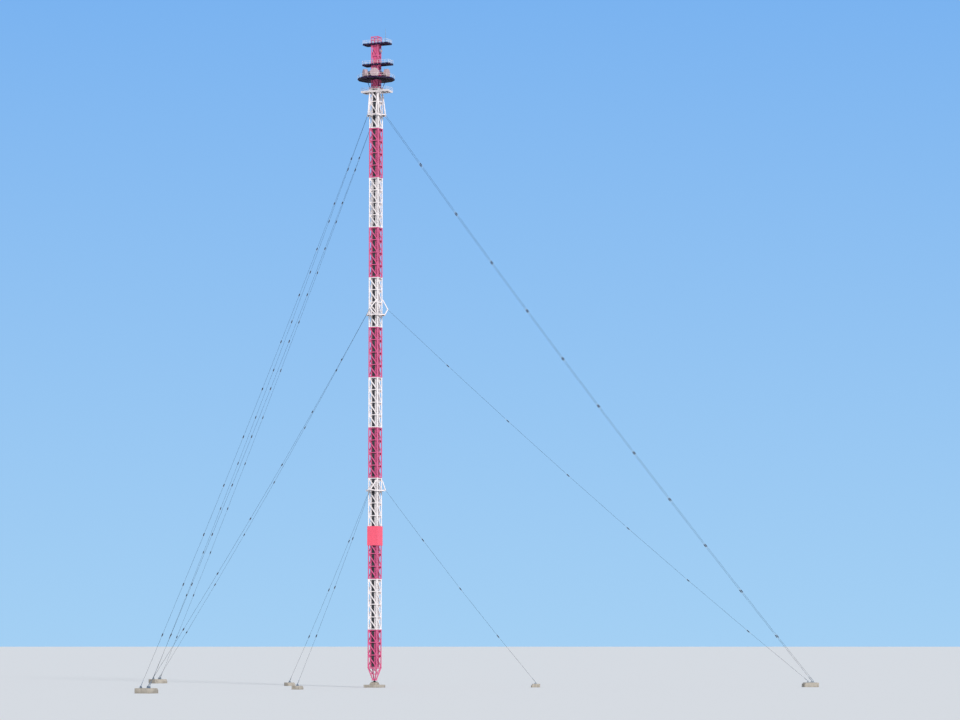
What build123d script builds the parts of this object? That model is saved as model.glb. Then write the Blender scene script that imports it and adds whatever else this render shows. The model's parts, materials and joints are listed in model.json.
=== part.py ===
from build123d import *
from math import atan2, ceil, cos, degrees, hypot, pi, radians, sin, sqrt
from typing import NamedTuple
import os

# Guyed lattice radio mast at one tenth of its real size, so 100 mm here is a metre there.
# +Z is up, and the origin is the middle of the underside of the base block, on the mast's axis.
# A heading is an angle on plan in degrees from +X, turning towards +Y.

# Lattice of the mast
BAY = 360.0  # height of one bay
BAYS = 4  # bays in one painted band
BANDS = 11  # full bands over the foot, red first
UPPER_BAY = 387.0  # bay of the short white band under the head
UPPER_BAYS = 3
SIDE = 270.0  # between leg centres
FIRST_LEG = 18.0  # heading of the first leg
LEG = 33.0  # leg tube, across flats
BRACE = 22.0  # width of a level bracing bar in the plane of its side
DIAGONAL = 32.0  # width of a diagonal there
BRACE_T = 10.0  # thickness of both
FLANGE = 48.0  # across the flanges that join two lengths of leg
FLANGE_T = 6.0
FIT = 0.3  # clearance between pieces that are bolted up close

# Slim column of the head
HEAD_BAY = 315.0
HEAD_BAYS = 4
HEAD_SIDE = 200.0
HEAD_LEG = 28.0
SEAT_T = 8.0  # plate that carries the column on the mast's top flanges

# Foundation and foot
BLOCK_W = 460.0
BLOCK_H = 80.0
PEDESTAL_W = 220.0
PEDESTAL_TOP_W = 170.0
PEDESTAL_H = 70.0
SHOE_W = 130.0  # bearing plate, and the foot plate over it
SHOE_T = 12.0
BALL_D = 70.0  # ball that lets the mast lean a little
BALL_RISE = 38.0  # from the bearing plate to the foot plate
FOOT_R = 46.0  # from the axis to each leg where it meets the foot plate

# Service duct, ladder, cables and landings inside the lattice
DUCT = 200.0  # outside width in the mast
HEAD_DUCT = 156.0  # outside width in the column, where it stands on the seat
DUCT_T = 3.0
LADDER_W = 46.0
LADDER_T = 5.0
STILE = 5.0
RUNG = 2.6
RUNG_STEP = 30.0
LADDER_GAP = 8.0  # from the duct to the ladder
LADDER_ARMS = (0.15, 0.5, 0.85)  # where arms hold it, as shares of a length
FEEDER_D = 9.0
FEEDERS = 8
FEEDER_PITCH = 10.5
FEEDER_INSET = 22.0  # from the plane of the legs in to the cables
LANDING_T = 4.0
LANDING_DROP = 30.0  # under the top of each section

# Closed red casing round the lattice
CASING_BAND = 3  # it hangs from the joint over this band
CASING_RISE = 60.0  # from that joint up to its top
CASING_H = 550.0
CASING_COURSES = 2
CASING_T = 3.0
CASING_GAP = 1.0  # from the leg flanges to the casing

# Dipole panels in front of one white band
DIPOLE_BAND = 10
DIPOLE_L = 216.0
DIPOLE_T = 6.0
DIPOLE_STEP = 144.0
DIPOLE_OFF = 34.0  # from the plane of the legs to the middle of the panels
BOOM_W = 10.0

# Guy rings
GUY_HEADINGS = (3.0, 123.0, 243.0)
RING_SHORT_GAP = 74.0  # from the leg centres to the sides that the guys pull on
RING_LONG_GAP = 50.0  # from the leg centres to the other sides
RING_BEAM = 34.0
RING_DECK_T = 4.0
STRUT = 30.0
RING_LUG_D = 40.0  # lugs of the rings, wider than the corners of the beams and struts
LUG_D = 24.0  # pins of the anchors
LUG_W = 26.0
COLLAR_H = 24.0  # clamp round a leg at the top of a strut

# Guys
OUTER_R = 12600.0  # from the axis to the anchor pins of the upper guys
INNER_R = 4600.0
MIDDLE_PIN_SHIFT = 130.0  # the middle guys' pins are this much nearer the mast
SAG = 0.012  # share of the straight distance
CABLE_D = 5.5
SOCKET_D = 13.0
SOCKET_L = 60.0
INSULATOR_D = 32.0
INSULATOR_L = 110.0
TURNBUCKLE_D = 20.0
TURNBUCKLE_ROD_D = 10.0
TURNBUCKLE_L = 150.0
TURNBUCKLE_BODY_L = 75.0

# Anchors
ANCHOR_MARGIN = 145.0  # concrete before and behind the pins
ANCHOR_SIDE_MARGIN = 95.0
ANCHOR_H = 130.0
ANCHOR_CUT = 50.0  # bevel along the edge towards the mast
INNER_ANCHOR_W = 240.0
INNER_ANCHOR_H = 100.0
PIN_RISE = 46.0  # pin centre over the concrete
CHEEK_T = 7.0
CHEEK_L = 60.0

# Platforms of the head, whose long ones point along one pair of sides
SIDE_WALK = 40.0  # deck beside the column
LOW_REACH = (250.0, 290.0)  # deck past the column at its two ends
UPPER_REACH = (264.0, 364.0)
TOP_REACH = (250.0, 318.0)
DECK_T = 4.0
BEAM_H = 28.0
BEAM_W = 10.0
RAIL_H = 110.0
RAIL = 6.0
POST_STEP = 130.0
LOW_DROP = 88.0  # low deck under the top of the lattice
DISH_DECK_RISE = 275.0  # decks over the top of the lattice
UPPER_RISE = 700.0
DISH_DECK_T = 10.0
DISH_BEAM_H = 16.0
DISH_DECK_SIDES = 12
DISH_DECK_MARGIN = 145.0  # deck past the drums
DISH_STRUT = 18.0
DISH_STRUT_SPREAD = 118.0  # how far a strut leans out from the column

# Equipment of the head
DRUM_D = 260.0
DRUM_L = 120.0
DRUM_OUT = 235.0  # from the column's side to the middle of a drum
DRUM_HEADINGS = (198.0, 262.0, 333.0, 63.0, 128.0)
DRUM_LIFT = 18.0
DRUM_POST = 12.0
SMALL_DISH_D = 80.0
SMALL_DISH_L = 36.0
SMALL_DISH_ARM = 36.0
SMALL_DISH_RISE = 1080.0
TOP_FRAME_OUT = 18.0  # past the leg centres of the column
TOP_FRAME_H = 212.0
TOP_BAR = 24.0
ROD_D = 12.0
ROD_L = 440.0
ROD_INSET = 130.0  # from the end of the top platform
ROD_FOOT = 36.0
LAMP_D = 18.0
LAMP_H = 26.0
LAMP_INSET = 54.0  # from the ends of the top platform

# Places that follow from the sizes above
MAST_Z = BLOCK_H + PEDESTAL_H + SHOE_T + BALL_RISE
BAND = BAY * BAYS
UPPER_BAND_Z = MAST_Z + BAND * BANDS
HEAD_Z = UPPER_BAND_Z + UPPER_BAY * UPPER_BAYS
COLUMN_Z = HEAD_Z + SEAT_T
TOP_DECK_Z = COLUMN_Z + HEAD_BAY * HEAD_BAYS + FIT + DECK_T + BEAM_H
CORNER_R = SIDE / sqrt(2)
LEG_HEADINGS = [FIRST_LEG + 90.0 * k for k in range(4)]
SIDE_HEADINGS = [heading + 45.0 for heading in LEG_HEADINGS]
SQUARE_TURN = SIDE_HEADINGS[0]
DUCT_BACK, FEEDER_SIDE, LADDER_SIDE = SIDE_HEADINGS[1:]
PLATFORM_HEADING = SIDE_HEADINGS[3] - 360.0
LADDER_Y = DUCT / 2 + LADDER_GAP
FEEDER_Y = SIDE / 2 - FEEDER_INSET
FEEDER_SPAN = FEEDER_PITCH * (FEEDERS - 1)
HOLE = SIDE + LEG + 2 * FIT  # square hole that clears the legs of the mast
HEAD_HOLE = HEAD_SIDE + HEAD_LEG + 2 * FIT
RING_R = CORNER_R + RING_SHORT_GAP
RING_HALF = (2 * (CORNER_R + RING_LONG_GAP) - RING_R) / sqrt(3)  # half of a short side
DRUM_R = HEAD_SIDE / 2 + DRUM_OUT
DISH_DECK_R = DRUM_R + DRUM_L / 2 + DISH_DECK_MARGIN


class GuyLevel(NamedTuple):
    """One ring of the mast and the cables that hold it."""

    ring_z: float
    places: tuple  # how far each cable of a heading stands sideways of it
    lug_out: float  # from the side of the ring out to its lugs
    lug_rise: float  # from the ring up to its lugs
    strut_rise: float  # from the ring up to where its struts meet the legs
    insulators: int  # on each cable
    pin_r: float  # from the axis to the anchor pins
    anchor_h: float


LEVELS = {
    "upper": GuyLevel(
        ring_z=UPPER_BAND_Z + UPPER_BAY,
        places=(-RING_HALF, RING_HALF),
        lug_out=0.0,
        lug_rise=0.0,
        strut_rise=610.0,
        insulators=11,
        pin_r=OUTER_R,
        anchor_h=ANCHOR_H,
    ),
    "middle": GuyLevel(
        ring_z=MAST_Z + BAND * 7 + BAY,
        places=(0.0,),
        lug_out=85.0,
        lug_rise=160.0,
        strut_rise=440.0,
        insulators=6,
        pin_r=OUTER_R - MIDDLE_PIN_SHIFT,
        anchor_h=ANCHOR_H,
    ),
    "lower": GuyLevel(
        ring_z=MAST_Z + BAND * 4 - BAY,
        places=(0.0,),
        lug_out=30.0,
        lug_rise=20.0,
        strut_rise=290.0,
        insulators=3,
        pin_r=INNER_R,
        anchor_h=INNER_ANCHOR_H,
    ),
}


def at(radius, heading, z=0.0, sideways=0.0):
    """Point out along a heading, and to its left."""
    a = radians(heading)
    return Vector(radius * cos(a) - sideways * sin(a), radius * sin(a) + sideways * cos(a), z)


def turned(heading, z=0.0):
    """Place whose Y axis points along a heading."""
    return Pos(0, 0, z) * Rot(0, 0, heading - 90.0)


def octagon(across):
    """Eight-sided outline with flats on X and Y."""
    return RegularPolygon(across / 2, 8, major_radius=False, rotation=22.5)


def between(start, end, outline):
    """Straight bar of one outline between two points."""
    line = end - start
    return extrude(Plane(start, z_dir=line) * outline, line.length)


def hexagonal_bar(start, end, across):
    return between(start, end, RegularPolygon(across / 2, 6, major_radius=False))


def round_bar(start, end, diameter):
    return between(start, end, Circle(diameter / 2))


def block(length, width, height, x=0.0, y=0.0, z=0.0):
    """Box by its size, the middle of its plan and its lowest height."""
    return Pos(x, y, z + height / 2) * Box(length, width, height)


def fuse(pieces):
    """One solid from pieces that run into each other."""
    return pieces[0].fuse(*pieces[1:])


def square_ring(outer, hole):
    return Rectangle(outer, outer) - Rectangle(hole, hole)


def plate(plan, thickness, low):
    """Upright prism of a plan that is drawn square to the sides of the lattice."""
    return turned(SQUARE_TURN, low) * extrude(plan, thickness)


def lattice_side(side, leg, bay, bays):
    """Flat side of the lattice: one leg and the bracing that runs to the next leg.

    X runs along the side from its middle, Y points out of the mast and Z is up.
    """
    height = bay * bays
    left = -side / 2
    right = side / 2 - leg / 2 - FIT
    middle = (left + right) / 2
    reach = right - left
    low = FLANGE_T + BRACE / 2
    joints = [low] + [bay * k for k in range(1, bays)] + [height - low]
    web = Sketch()
    for z in joints:
        web += Pos(middle, z) * Rectangle(reach, BRACE)
    for start, end in zip(joints, joints[1:]):
        slope = degrees(atan2(end - start, reach))
        diagonal = Rectangle(hypot(reach, end - start), DIAGONAL)
        web += Pos(middle, (start + end) / 2) * Rot(0, 0, slope) * diagonal
    web &= Pos(middle, height / 2) * Rectangle(reach, height - 2 * FLANGE_T)
    pieces = [Pos(left, 0, 0) * extrude(octagon(leg), height)]
    pieces.append(Pos(0, BRACE_T / 2, 0) * Rot(90, 0, 0) * extrude(web, BRACE_T))
    for z in (0.0, height - FLANGE_T):
        pieces.append(Pos(left, 0, z) * extrude(octagon(FLANGE), FLANGE_T))
    return fuse(pieces)


def round_the_mast(piece, side, z):
    """Four copies of a piece, one on each side of the lattice."""
    return [turned(heading, z) * Pos(0, side / 2, 0) * piece for heading in SIDE_HEADINGS]


def section_edges():
    """Heights where the sections of the mast begin, and the top of the last one."""
    return [MAST_Z + BAY] + [MAST_Z + BAND * n for n in range(1, BANDS + 1)] + [HEAD_Z]


def mast_sections():
    """Twelve lengths of lattice, one for each painted band."""
    sides = [lattice_side(SIDE, LEG, BAY, BAYS - 1)]
    sides += [lattice_side(SIDE, LEG, BAY, BAYS)] * (BANDS - 1)
    sides += [lattice_side(SIDE, LEG, UPPER_BAY, UPPER_BAYS)]
    sections = {}
    for number, (side, z) in enumerate(zip(sides, section_edges()), 1):
        sections[f"mast_section_{number:02d}"] = round_the_mast(side, SIDE, z)
    return sections


def base_block():
    slab = block(BLOCK_W, BLOCK_W, BLOCK_H)
    low = Plane.XY.offset(BLOCK_H) * Rectangle(PEDESTAL_W, PEDESTAL_W)
    high = Plane.XY.offset(BLOCK_H + PEDESTAL_H) * Rectangle(PEDESTAL_TOP_W, PEDESTAL_TOP_W)
    return [turned(SQUARE_TURN) * fuse([slab, loft([low, high])])]


def foot_bearing():
    """Plate on the pedestal, with the ball that carries the mast."""
    radius = BALL_D / 2
    bottom = block(SHOE_W, SHOE_W, SHOE_T)
    collar = Pos(0, 0, SHOE_T) * extrude(Circle(radius), BALL_RISE / 2)
    ball = Pos(0, 0, SHOE_T + BALL_RISE - radius) * Sphere(radius)
    cap = ball & block(BALL_D, BALL_D, BALL_RISE, z=SHOE_T)
    return [turned(SQUARE_TURN, BLOCK_H + PEDESTAL_H) * fuse([bottom, collar, cap])]


def mast_foot():
    """Lowest bay, whose four legs lean in to a plate on the ball."""
    top = MAST_Z + BAY
    pieces = [turned(SQUARE_TURN) * block(SHOE_W, SHOE_W, SHOE_T, z=MAST_Z)]
    lows = [at(FOOT_R, heading, MAST_Z + SHOE_T / 2) for heading in LEG_HEADINGS]
    highs = [at(CORNER_R, heading, top - FLANGE_T) for heading in LEG_HEADINGS]
    for k in range(4):
        low, high = lows[k], highs[k]
        next_low, next_high = lows[(k + 1) % 4], highs[(k + 1) % 4]
        pieces.append(between(low, high, RegularPolygon(LEG / 2, 8, major_radius=False)))
        turn = turned(SIDE_HEADINGS[k])
        pieces.append(Pos(high.X, high.Y, high.Z) * turn * extrude(octagon(FLANGE), FLANGE_T))
        pieces.append(hexagonal_bar((low + high) / 2, (next_low + next_high) / 2, BRACE))
        drop = Vector(0, 0, BRACE)
        pieces.append(hexagonal_bar(high - drop, next_high - drop, BRACE))
    return [fuse(pieces)]


def head_seat():
    return [plate(square_ring(SIDE + FLANGE, HEAD_SIDE - FLANGE), SEAT_T, HEAD_Z)]


def head_column():
    return round_the_mast(lattice_side(HEAD_SIDE, HEAD_LEG, HEAD_BAY, HEAD_BAYS), HEAD_SIDE, COLUMN_Z)


def service_duct(first):
    """Four sheets round a square in every second section, from the given one on, or in the column."""
    edges = section_edges()
    spans = [(low, high, DUCT) for low, high in zip(edges, edges[1:])]
    spans.append((COLUMN_Z, COLUMN_Z + HEAD_BAY * HEAD_BAYS, HEAD_DUCT))
    sheets = []
    for low, high, width in spans[first::2]:
        sheet = Pos((DUCT_T + FIT) / 2, (width - DUCT_T) / 2) * Rectangle(width - DUCT_T - FIT, DUCT_T)
        wall = extrude(sheet, high - low)
        sheets += [turned(heading, low) * wall for heading in SIDE_HEADINGS]
    return sheets


def ladder_length(height):
    """Ladder with its arms, on the side of the duct that faces Y."""
    steps = ceil(height / RUNG_STEP)
    opening = Rectangle(LADDER_W - 2 * STILE, height / steps - RUNG)
    openings = [spot * opening for spot in GridLocations(1, height / steps, 1, steps)]
    plan = Rectangle(LADDER_W, height) - openings
    pieces = [Pos(0, LADDER_Y + LADDER_T, height / 2) * Rot(90, 0, 0) * extrude(plan, LADDER_T)]
    reach = LADDER_GAP - FIT + LADDER_T / 2
    arm = block(STILE, reach, STILE, y=DUCT / 2 + FIT + reach / 2)
    for share in LADDER_ARMS:
        for x in (STILE - LADDER_W, LADDER_W - STILE):
            pieces.append(Pos(x / 2, 0, height * share) * arm)
    return fuse(pieces)


def ladders():
    """One length of ladder for each section."""
    edges = section_edges()
    heights = [high - low - 2 * FIT for low, high in zip(edges, edges[1:])]
    models = {height: ladder_length(height) for height in set(heights)}
    return [turned(LADDER_SIDE, low + FIT) * models[height] for low, height in zip(edges, heights)]


def feeder_cables():
    """Flat run of cables clipped side by side, up the inside of one side."""
    plan = Rectangle(FEEDER_SPAN, FEEDER_D / 3)
    for spot in GridLocations(FEEDER_PITCH, 1, FEEDERS, 1):
        plan += spot * octagon(FEEDER_D)
    low = MAST_Z + BAY
    return [turned(FEEDER_SIDE, low) * Pos(0, FEEDER_Y, 0) * extrude(plan, HEAD_Z - low)]


def landings():
    """Landing round the duct near the top of each section, with wells for ladder and cables."""
    width = SIDE - BRACE_T - 2 * FIT
    plan = square_ring(width, DUCT + 2 * FIT)
    corner = Rectangle(LEG + 2 * FIT, LEG + 2 * FIT)
    plan -= [spot * corner for spot in GridLocations(SIDE, SIDE, 2, 2)]
    depth = LADDER_GAP + LADDER_T + 2 * FIT
    well = Pos(0, (DUCT + depth) / 2) * Rectangle(LADDER_W + 2 * FIT, depth)
    plan -= Rot(0, 0, LADDER_SIDE - DUCT_BACK) * well
    slot = Rectangle(FEEDER_SPAN + FEEDER_D + 2 * FIT, FEEDER_D + 2 * FIT)
    plan -= Rot(0, 0, FEEDER_SIDE - DUCT_BACK) * Pos(0, FEEDER_Y) * slot
    landing = turned(DUCT_BACK) * extrude(plan, LANDING_T)
    return [Pos(0, 0, z - LANDING_DROP) * landing for z in section_edges()[1:]]


def casing():
    """Courses of four walls round the lattice, with a floor and a roof inside them."""
    top = MAST_Z + BAND * CASING_BAND + CASING_RISE
    inner = SIDE + FLANGE + 2 * CASING_GAP
    course = CASING_H / CASING_COURSES
    sheet = Pos((CASING_T + FIT) / 2, (inner + CASING_T) / 2) * Rectangle(inner + CASING_T - FIT, CASING_T)
    wall = extrude(sheet, course - FIT)
    pieces = []
    for k in range(CASING_COURSES):
        pieces += [turned(heading, top - CASING_H + course * k) * wall for heading in SIDE_HEADINGS]
    cover = square_ring(inner - 2 * FIT, HOLE)
    pieces.append(plate(cover, CASING_T, top - CASING_H))
    pieces.append(plate(cover, CASING_T, top - CASING_T - FIT))
    return pieces


def dipole_panels():
    """Upright boom with rows of dipoles in front of each side of one band."""
    rows = int(BAND / DIPOLE_STEP) - 1
    plan = Rectangle(BOOM_W, DIPOLE_STEP * rows + BOOM_W)
    for spot in GridLocations(1, DIPOLE_STEP, 1, rows):
        plan += spot * Rectangle(DIPOLE_L, DIPOLE_T)
    pieces = [Pos(0, DIPOLE_OFF + DIPOLE_T / 2, BAND / 2) * Rot(90, 0, 0) * extrude(plan, DIPOLE_T)]
    reach = DIPOLE_OFF - BRACE_T / 2 - FIT
    arm = block(BOOM_W, reach, BOOM_W, y=BRACE_T / 2 + FIT + reach / 2)
    for k in range(1, BAYS):
        pieces.append(Pos(0, 0, BAY * k - BOOM_W / 2) * arm)
    return round_the_mast(fuse(pieces), SIDE, MAST_Z + BAND * (DIPOLE_BAND - 1))


def ring_corners(heading, z):
    """The two corners of a guy ring on the side that one heading's guys pull."""
    return [at(RING_R, heading, z, sideways) for sideways in (-RING_HALF, RING_HALF)]


def lug_point(level, heading, sideways):
    return at(RING_R + level.lug_out, heading, level.ring_z + level.lug_rise, sideways)


def strut_from_leg(lug, z):
    """Strut from a clamp round the nearest leg down to a lug."""
    legs = [at(CORNER_R, heading, z) for heading in LEG_HEADINGS]
    leg = min(legs, key=lambda point: hypot(point.X - lug.X, point.Y - lug.Y))
    out = Vector(lug.X - leg.X, lug.Y - leg.Y, 0)
    lean = atan2(z - lug.Z, out.length)
    gap = LEG / 2 / cos(pi / 8) + FIT + STRUT / sqrt(3) * sin(lean)
    strut = hexagonal_bar(leg + out.normalized() * gap, lug, STRUT)
    clamp = extrude(octagon(FLANGE) - octagon(LEG + 2 * FIT), COLLAR_H / 2, both=True)
    return [strut, Pos(leg.X, leg.Y, z - COLLAR_H / 4) * turned(SQUARE_TURN) * clamp]


def guy_ring(level):
    """Deck and frame round the mast, with the lugs and struts of one set of guys."""
    z = level.ring_z
    corners = [corner for heading in GUY_HEADINGS for corner in ring_corners(heading, z)]
    outline = make_face(Polyline(*corners, close=True))
    hole = Pos(0, 0, z) * Rot(0, 0, SQUARE_TURN) * Rectangle(HOLE, HOLE)
    pieces = [extrude(outline - hole, RING_DECK_T / 2, both=True)]
    for start, end in zip(corners, corners[1:] + corners[:1]):
        pieces.append(hexagonal_bar(start, end, RING_BEAM))
    for heading in GUY_HEADINGS:
        for sideways in level.places:
            lug = lug_point(level, heading, sideways)
            half = at(LUG_W / 2, heading + 90.0)
            pieces.append(round_bar(lug - half, lug + half, RING_LUG_D))
            pieces += strut_from_leg(lug, z + level.strut_rise)
            if level.lug_out > 0:
                pieces += [hexagonal_bar(corner, lug, STRUT) for corner in ring_corners(heading, z)]
    return [fuse(pieces)]


def guy_lines(level):
    """Heading and points of each guy, from its anchor pin up to its lug."""
    lines = []
    for heading in GUY_HEADINGS:
        for sideways in level.places:
            low = at(level.pin_r, heading, level.anchor_h + PIN_RISE, sideways)
            high = lug_point(level, heading, sideways)
            sag = SAG * (high - low).length
            points = []
            for k in range(level.insulators + 2):
                t = k / (level.insulators + 1)
                points.append(low + (high - low) * t - Vector(0, 0, sag * 4 * t * (1 - t)))
            lines.append((heading, points))
    return lines


def guys(level):
    """Cables in straight lengths between insulators, with a socket at the lug."""
    lengths = []
    for _, points in guy_lines(level):
        last = level.insulators
        for k, (start, end) in enumerate(zip(points, points[1:])):
            line = (end - start).normalized()
            low_gap = LUG_D / 2 + TURNBUCKLE_L + 2 * FIT if k == 0 else INSULATOR_L / 2 + FIT
            high_gap = RING_LUG_D / 2 + FIT if k == last else INSULATOR_L / 2 + FIT
            top = end - line * high_gap
            cable = hexagonal_bar(start + line * low_gap, top, CABLE_D)
            if k == last:
                cable = fuse([cable, between(top - line * SOCKET_L, top, octagon(SOCKET_D))])
            lengths.append(cable)
    return lengths


def insulators():
    pieces = []
    for level in LEVELS.values():
        for _, points in guy_lines(level):
            for below, middle, above in zip(points, points[1:], points[2:]):
                half = (above - below).normalized() * (INSULATOR_L / 2)
                pieces.append(between(middle - half, middle + half, octagon(INSULATOR_D)))
    return pieces


def turnbuckles():
    """Tensioners between the anchor pins and the cables."""
    pieces = []
    for level in LEVELS.values():
        for _, points in guy_lines(level):
            line = (points[1] - points[0]).normalized()
            start = points[0] + line * (LUG_D / 2 + FIT)
            rod = hexagonal_bar(start, start + line * TURNBUCKLE_L, TURNBUCKLE_ROD_D)
            edge = (TURNBUCKLE_L - TURNBUCKLE_BODY_L) / 2
            near = start + line * edge
            body = between(near, near + line * TURNBUCKLE_BODY_L, octagon(TURNBUCKLE_D))
            pieces.append(fuse([rod, body]))
    return pieces


def anchor_shoe():
    """Base plate, two cheeks and the pin between them that a turnbuckle pulls on."""
    cheek_y = (LUG_W + CHEEK_T) / 2
    pieces = [block(CHEEK_L + 2 * CHEEK_T, LUG_W + 4 * CHEEK_T, CHEEK_T)]
    for y in (-cheek_y, cheek_y):
        pieces.append(block(CHEEK_L, CHEEK_T, PIN_RISE + LUG_D / 2, y=y))
    pieces.append(Pos(0, 0, PIN_RISE) * Rot(90, 0, 0) * extrude(Circle(LUG_D / 2), cheek_y, both=True))
    return fuse(pieces)


def anchor_shoes():
    shoe = anchor_shoe()
    shoes = []
    for level in LEVELS.values():
        for heading, points in guy_lines(level):
            shoes.append(Pos(points[0].X, points[0].Y, level.anchor_h) * Rot(0, 0, heading) * shoe)
    return shoes


def anchor_blocks(radius, length, width, height):
    """Concrete blocks with the upper edge towards the mast cut back."""
    half = length / 2
    corners = [(-half, 0), (half, 0), (half, height), (ANCHOR_CUT - half, height)]
    corners.append((-half, height - ANCHOR_CUT))
    body = extrude(Plane.XZ * make_face(Polyline(*corners, close=True)), width / 2, both=True)
    return [Rot(0, 0, heading) * Pos(radius, 0, 0) * body for heading in GUY_HEADINGS]


def outer_anchors():
    length = MIDDLE_PIN_SHIFT + 2 * ANCHOR_MARGIN
    width = 2 * (RING_HALF + ANCHOR_SIDE_MARGIN)
    return anchor_blocks(OUTER_R - MIDDLE_PIN_SHIFT / 2, length, width, ANCHOR_H)


def inner_anchors():
    return anchor_blocks(INNER_R, INNER_ANCHOR_W, INNER_ANCHOR_W, INNER_ANCHOR_H)


def long_platform(around, reach, hole, top):
    """Deck, rim and bearers of a long platform round a square hole.

    The deck passes the square that it stands round by the reach at each end.
    """
    length = around + sum(reach)
    width = around + 2 * SIDE_WALK
    shift = Pos((reach[1] - reach[0]) / 2, 0)
    pieces = [extrude(shift * Rectangle(length, width) - Rectangle(hole, hole), -DECK_T)]
    rim = Rectangle(length, width) - Rectangle(length - 2 * BEAM_W, width - 2 * BEAM_W)
    pieces.append(extrude(shift * rim, -DECK_T - BEAM_H))
    for y in (-1, 1):
        bearer = shift * Pos(0, y * (hole + BEAM_W) / 2) * Rectangle(length, BEAM_W)
        pieces.append(extrude(bearer, -DECK_T - BEAM_H))
    return [Pos(0, 0, top) * Rot(0, 0, PLATFORM_HEADING) * fuse(pieces)]


def rail_ring(plan):
    """Hand rail and knee rail from one plan."""
    return [Pos(0, 0, RAIL_H - RAIL) * extrude(plan, RAIL), Pos(0, 0, RAIL_H / 2) * extrude(plan, RAIL)]


def long_railing(around, reach, top):
    """Posts and two rails round the edge of a long platform."""
    length = around + sum(reach) - RAIL
    width = around + 2 * SIDE_WALK - RAIL
    pieces = rail_ring(Rectangle(length + RAIL, width + RAIL) - Rectangle(length - RAIL, width - RAIL))
    post = extrude(Rectangle(RAIL, RAIL), RAIL_H - FIT)
    for span, other, turn in ((length, width, 0), (width, length, 90)):
        gaps = ceil(span / POST_STEP)
        for k in range(gaps):
            spot = Pos(span * (k / gaps - 0.5), -other / 2, 0)
            pieces += [Rot(0, 0, turn) * spot * post, Rot(0, 0, turn + 180) * spot * post]
    shift = Pos((reach[1] - reach[0]) / 2, 0, 0)
    return Pos(0, 0, top + FIT) * Rot(0, 0, PLATFORM_HEADING) * shift * fuse(pieces)


def polygon(radius):
    return RegularPolygon(radius, DISH_DECK_SIDES)


def dish_platform():
    """Broad many-sided deck for the drums, and the four struts that carry it."""
    pieces = [extrude(polygon(DISH_DECK_R) - Rectangle(HEAD_HOLE, HEAD_HOLE), -DISH_DECK_T)]
    depth = DISH_DECK_T + DISH_BEAM_H
    pieces.append(extrude(polygon(DISH_DECK_R) - polygon(DISH_DECK_R - 2 * BEAM_W), -depth))
    reach = 2 * (DISH_DECK_R * cos(pi / DISH_DECK_SIDES) - BEAM_W)
    for side in (-1, 1):
        place = side * (HEAD_HOLE + BEAM_W) / 2
        pieces.append(extrude(Pos(0, place) * Rectangle(reach, BEAM_W), -depth))
        pieces.append(extrude(Pos(place, 0) * Rectangle(BEAM_W, reach), -depth))
    deck = Pos(0, 0, HEAD_Z + DISH_DECK_RISE) * Rot(0, 0, PLATFORM_HEADING) * fuse(pieces)
    return [deck] + dish_struts(COLUMN_Z + FIT, HEAD_Z + DISH_DECK_RISE - DISH_DECK_T - FIT)


def dish_struts(low, high):
    """Struts that lean out from the seat of the column to the underside of the deck."""
    inner = HEAD_SIDE / sqrt(2) + HEAD_LEG + DISH_STRUT / 2
    struts = []
    for heading in LEG_HEADINGS:
        foot = at(inner, heading, low - DISH_STRUT)
        head = at(inner + DISH_STRUT_SPREAD, heading, high + DISH_STRUT)
        beam = between(foot, head, octagon(DISH_STRUT))
        room = 4 * DISH_DECK_R
        struts.append(beam & block(room, room, high - low, z=low))
    return struts


def dish_railing():
    """Posts and two rails round the broad deck."""
    middle = DISH_DECK_R - RAIL
    pieces = rail_ring(polygon(middle + RAIL / 2) - polygon(middle - RAIL / 2))
    post = extrude(Rectangle(RAIL, RAIL), RAIL_H - FIT)
    for k in range(DISH_DECK_SIDES):
        spot = at(middle, 360.0 * k / DISH_DECK_SIDES)
        pieces.append(Pos(spot.X, spot.Y, 0) * post)
    return Pos(0, 0, HEAD_Z + DISH_DECK_RISE + FIT) * Rot(0, 0, PLATFORM_HEADING) * fuse(pieces)


def top_frame():
    """Open frame that stands on the highest deck."""
    outer = HEAD_SIDE + 2 * TOP_FRAME_OUT
    ring = extrude(square_ring(outer, outer - 2 * TOP_BAR), TOP_BAR)
    pieces = [Pos(0, 0, z) * ring for z in (0.0, TOP_FRAME_H / 2, TOP_FRAME_H - TOP_BAR)]
    post = block(TOP_BAR, TOP_BAR, TOP_FRAME_H)
    pieces += [spot * post for spot in GridLocations(outer - TOP_BAR, outer - TOP_BAR, 2, 2)]
    return [turned(SQUARE_TURN, TOP_DECK_Z + FIT) * fuse(pieces)]


def lightning_rod():
    spot = at(HEAD_HOLE / 2 + TOP_REACH[1] - ROD_INSET, PLATFORM_HEADING, TOP_DECK_Z + FIT)
    foot = extrude(Rectangle(ROD_FOOT, ROD_FOOT), DECK_T)
    rod = extrude(octagon(ROD_D), ROD_L)
    return [Pos(spot.X, spot.Y, spot.Z) * Rot(0, 0, PLATFORM_HEADING) * fuse([foot, rod])]


def drum_dishes():
    """Closed drums round the column, each on its own post on the broad deck."""
    drum = Pos(0, 0, DRUM_LIFT + DRUM_D / 2) * Rot(0, 90, 0) * Cylinder(DRUM_D / 2, DRUM_L)
    back = DRUM_L / 2 + DRUM_POST
    post = block(DRUM_POST, DRUM_POST, DRUM_LIFT + DRUM_D, x=-back)
    arm = block(back, 2 * DRUM_POST, 2 * DRUM_POST, x=-back / 2, z=DRUM_LIFT + DRUM_D / 2 - DRUM_POST)
    dish = fuse([drum, post, arm])
    dishes = []
    for heading in DRUM_HEADINGS:
        spot = at(DRUM_R, heading, HEAD_Z + DISH_DECK_RISE + FIT)
        dishes.append(Pos(spot.X, spot.Y, spot.Z) * Rot(0, 0, heading) * dish)
    return dishes


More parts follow.
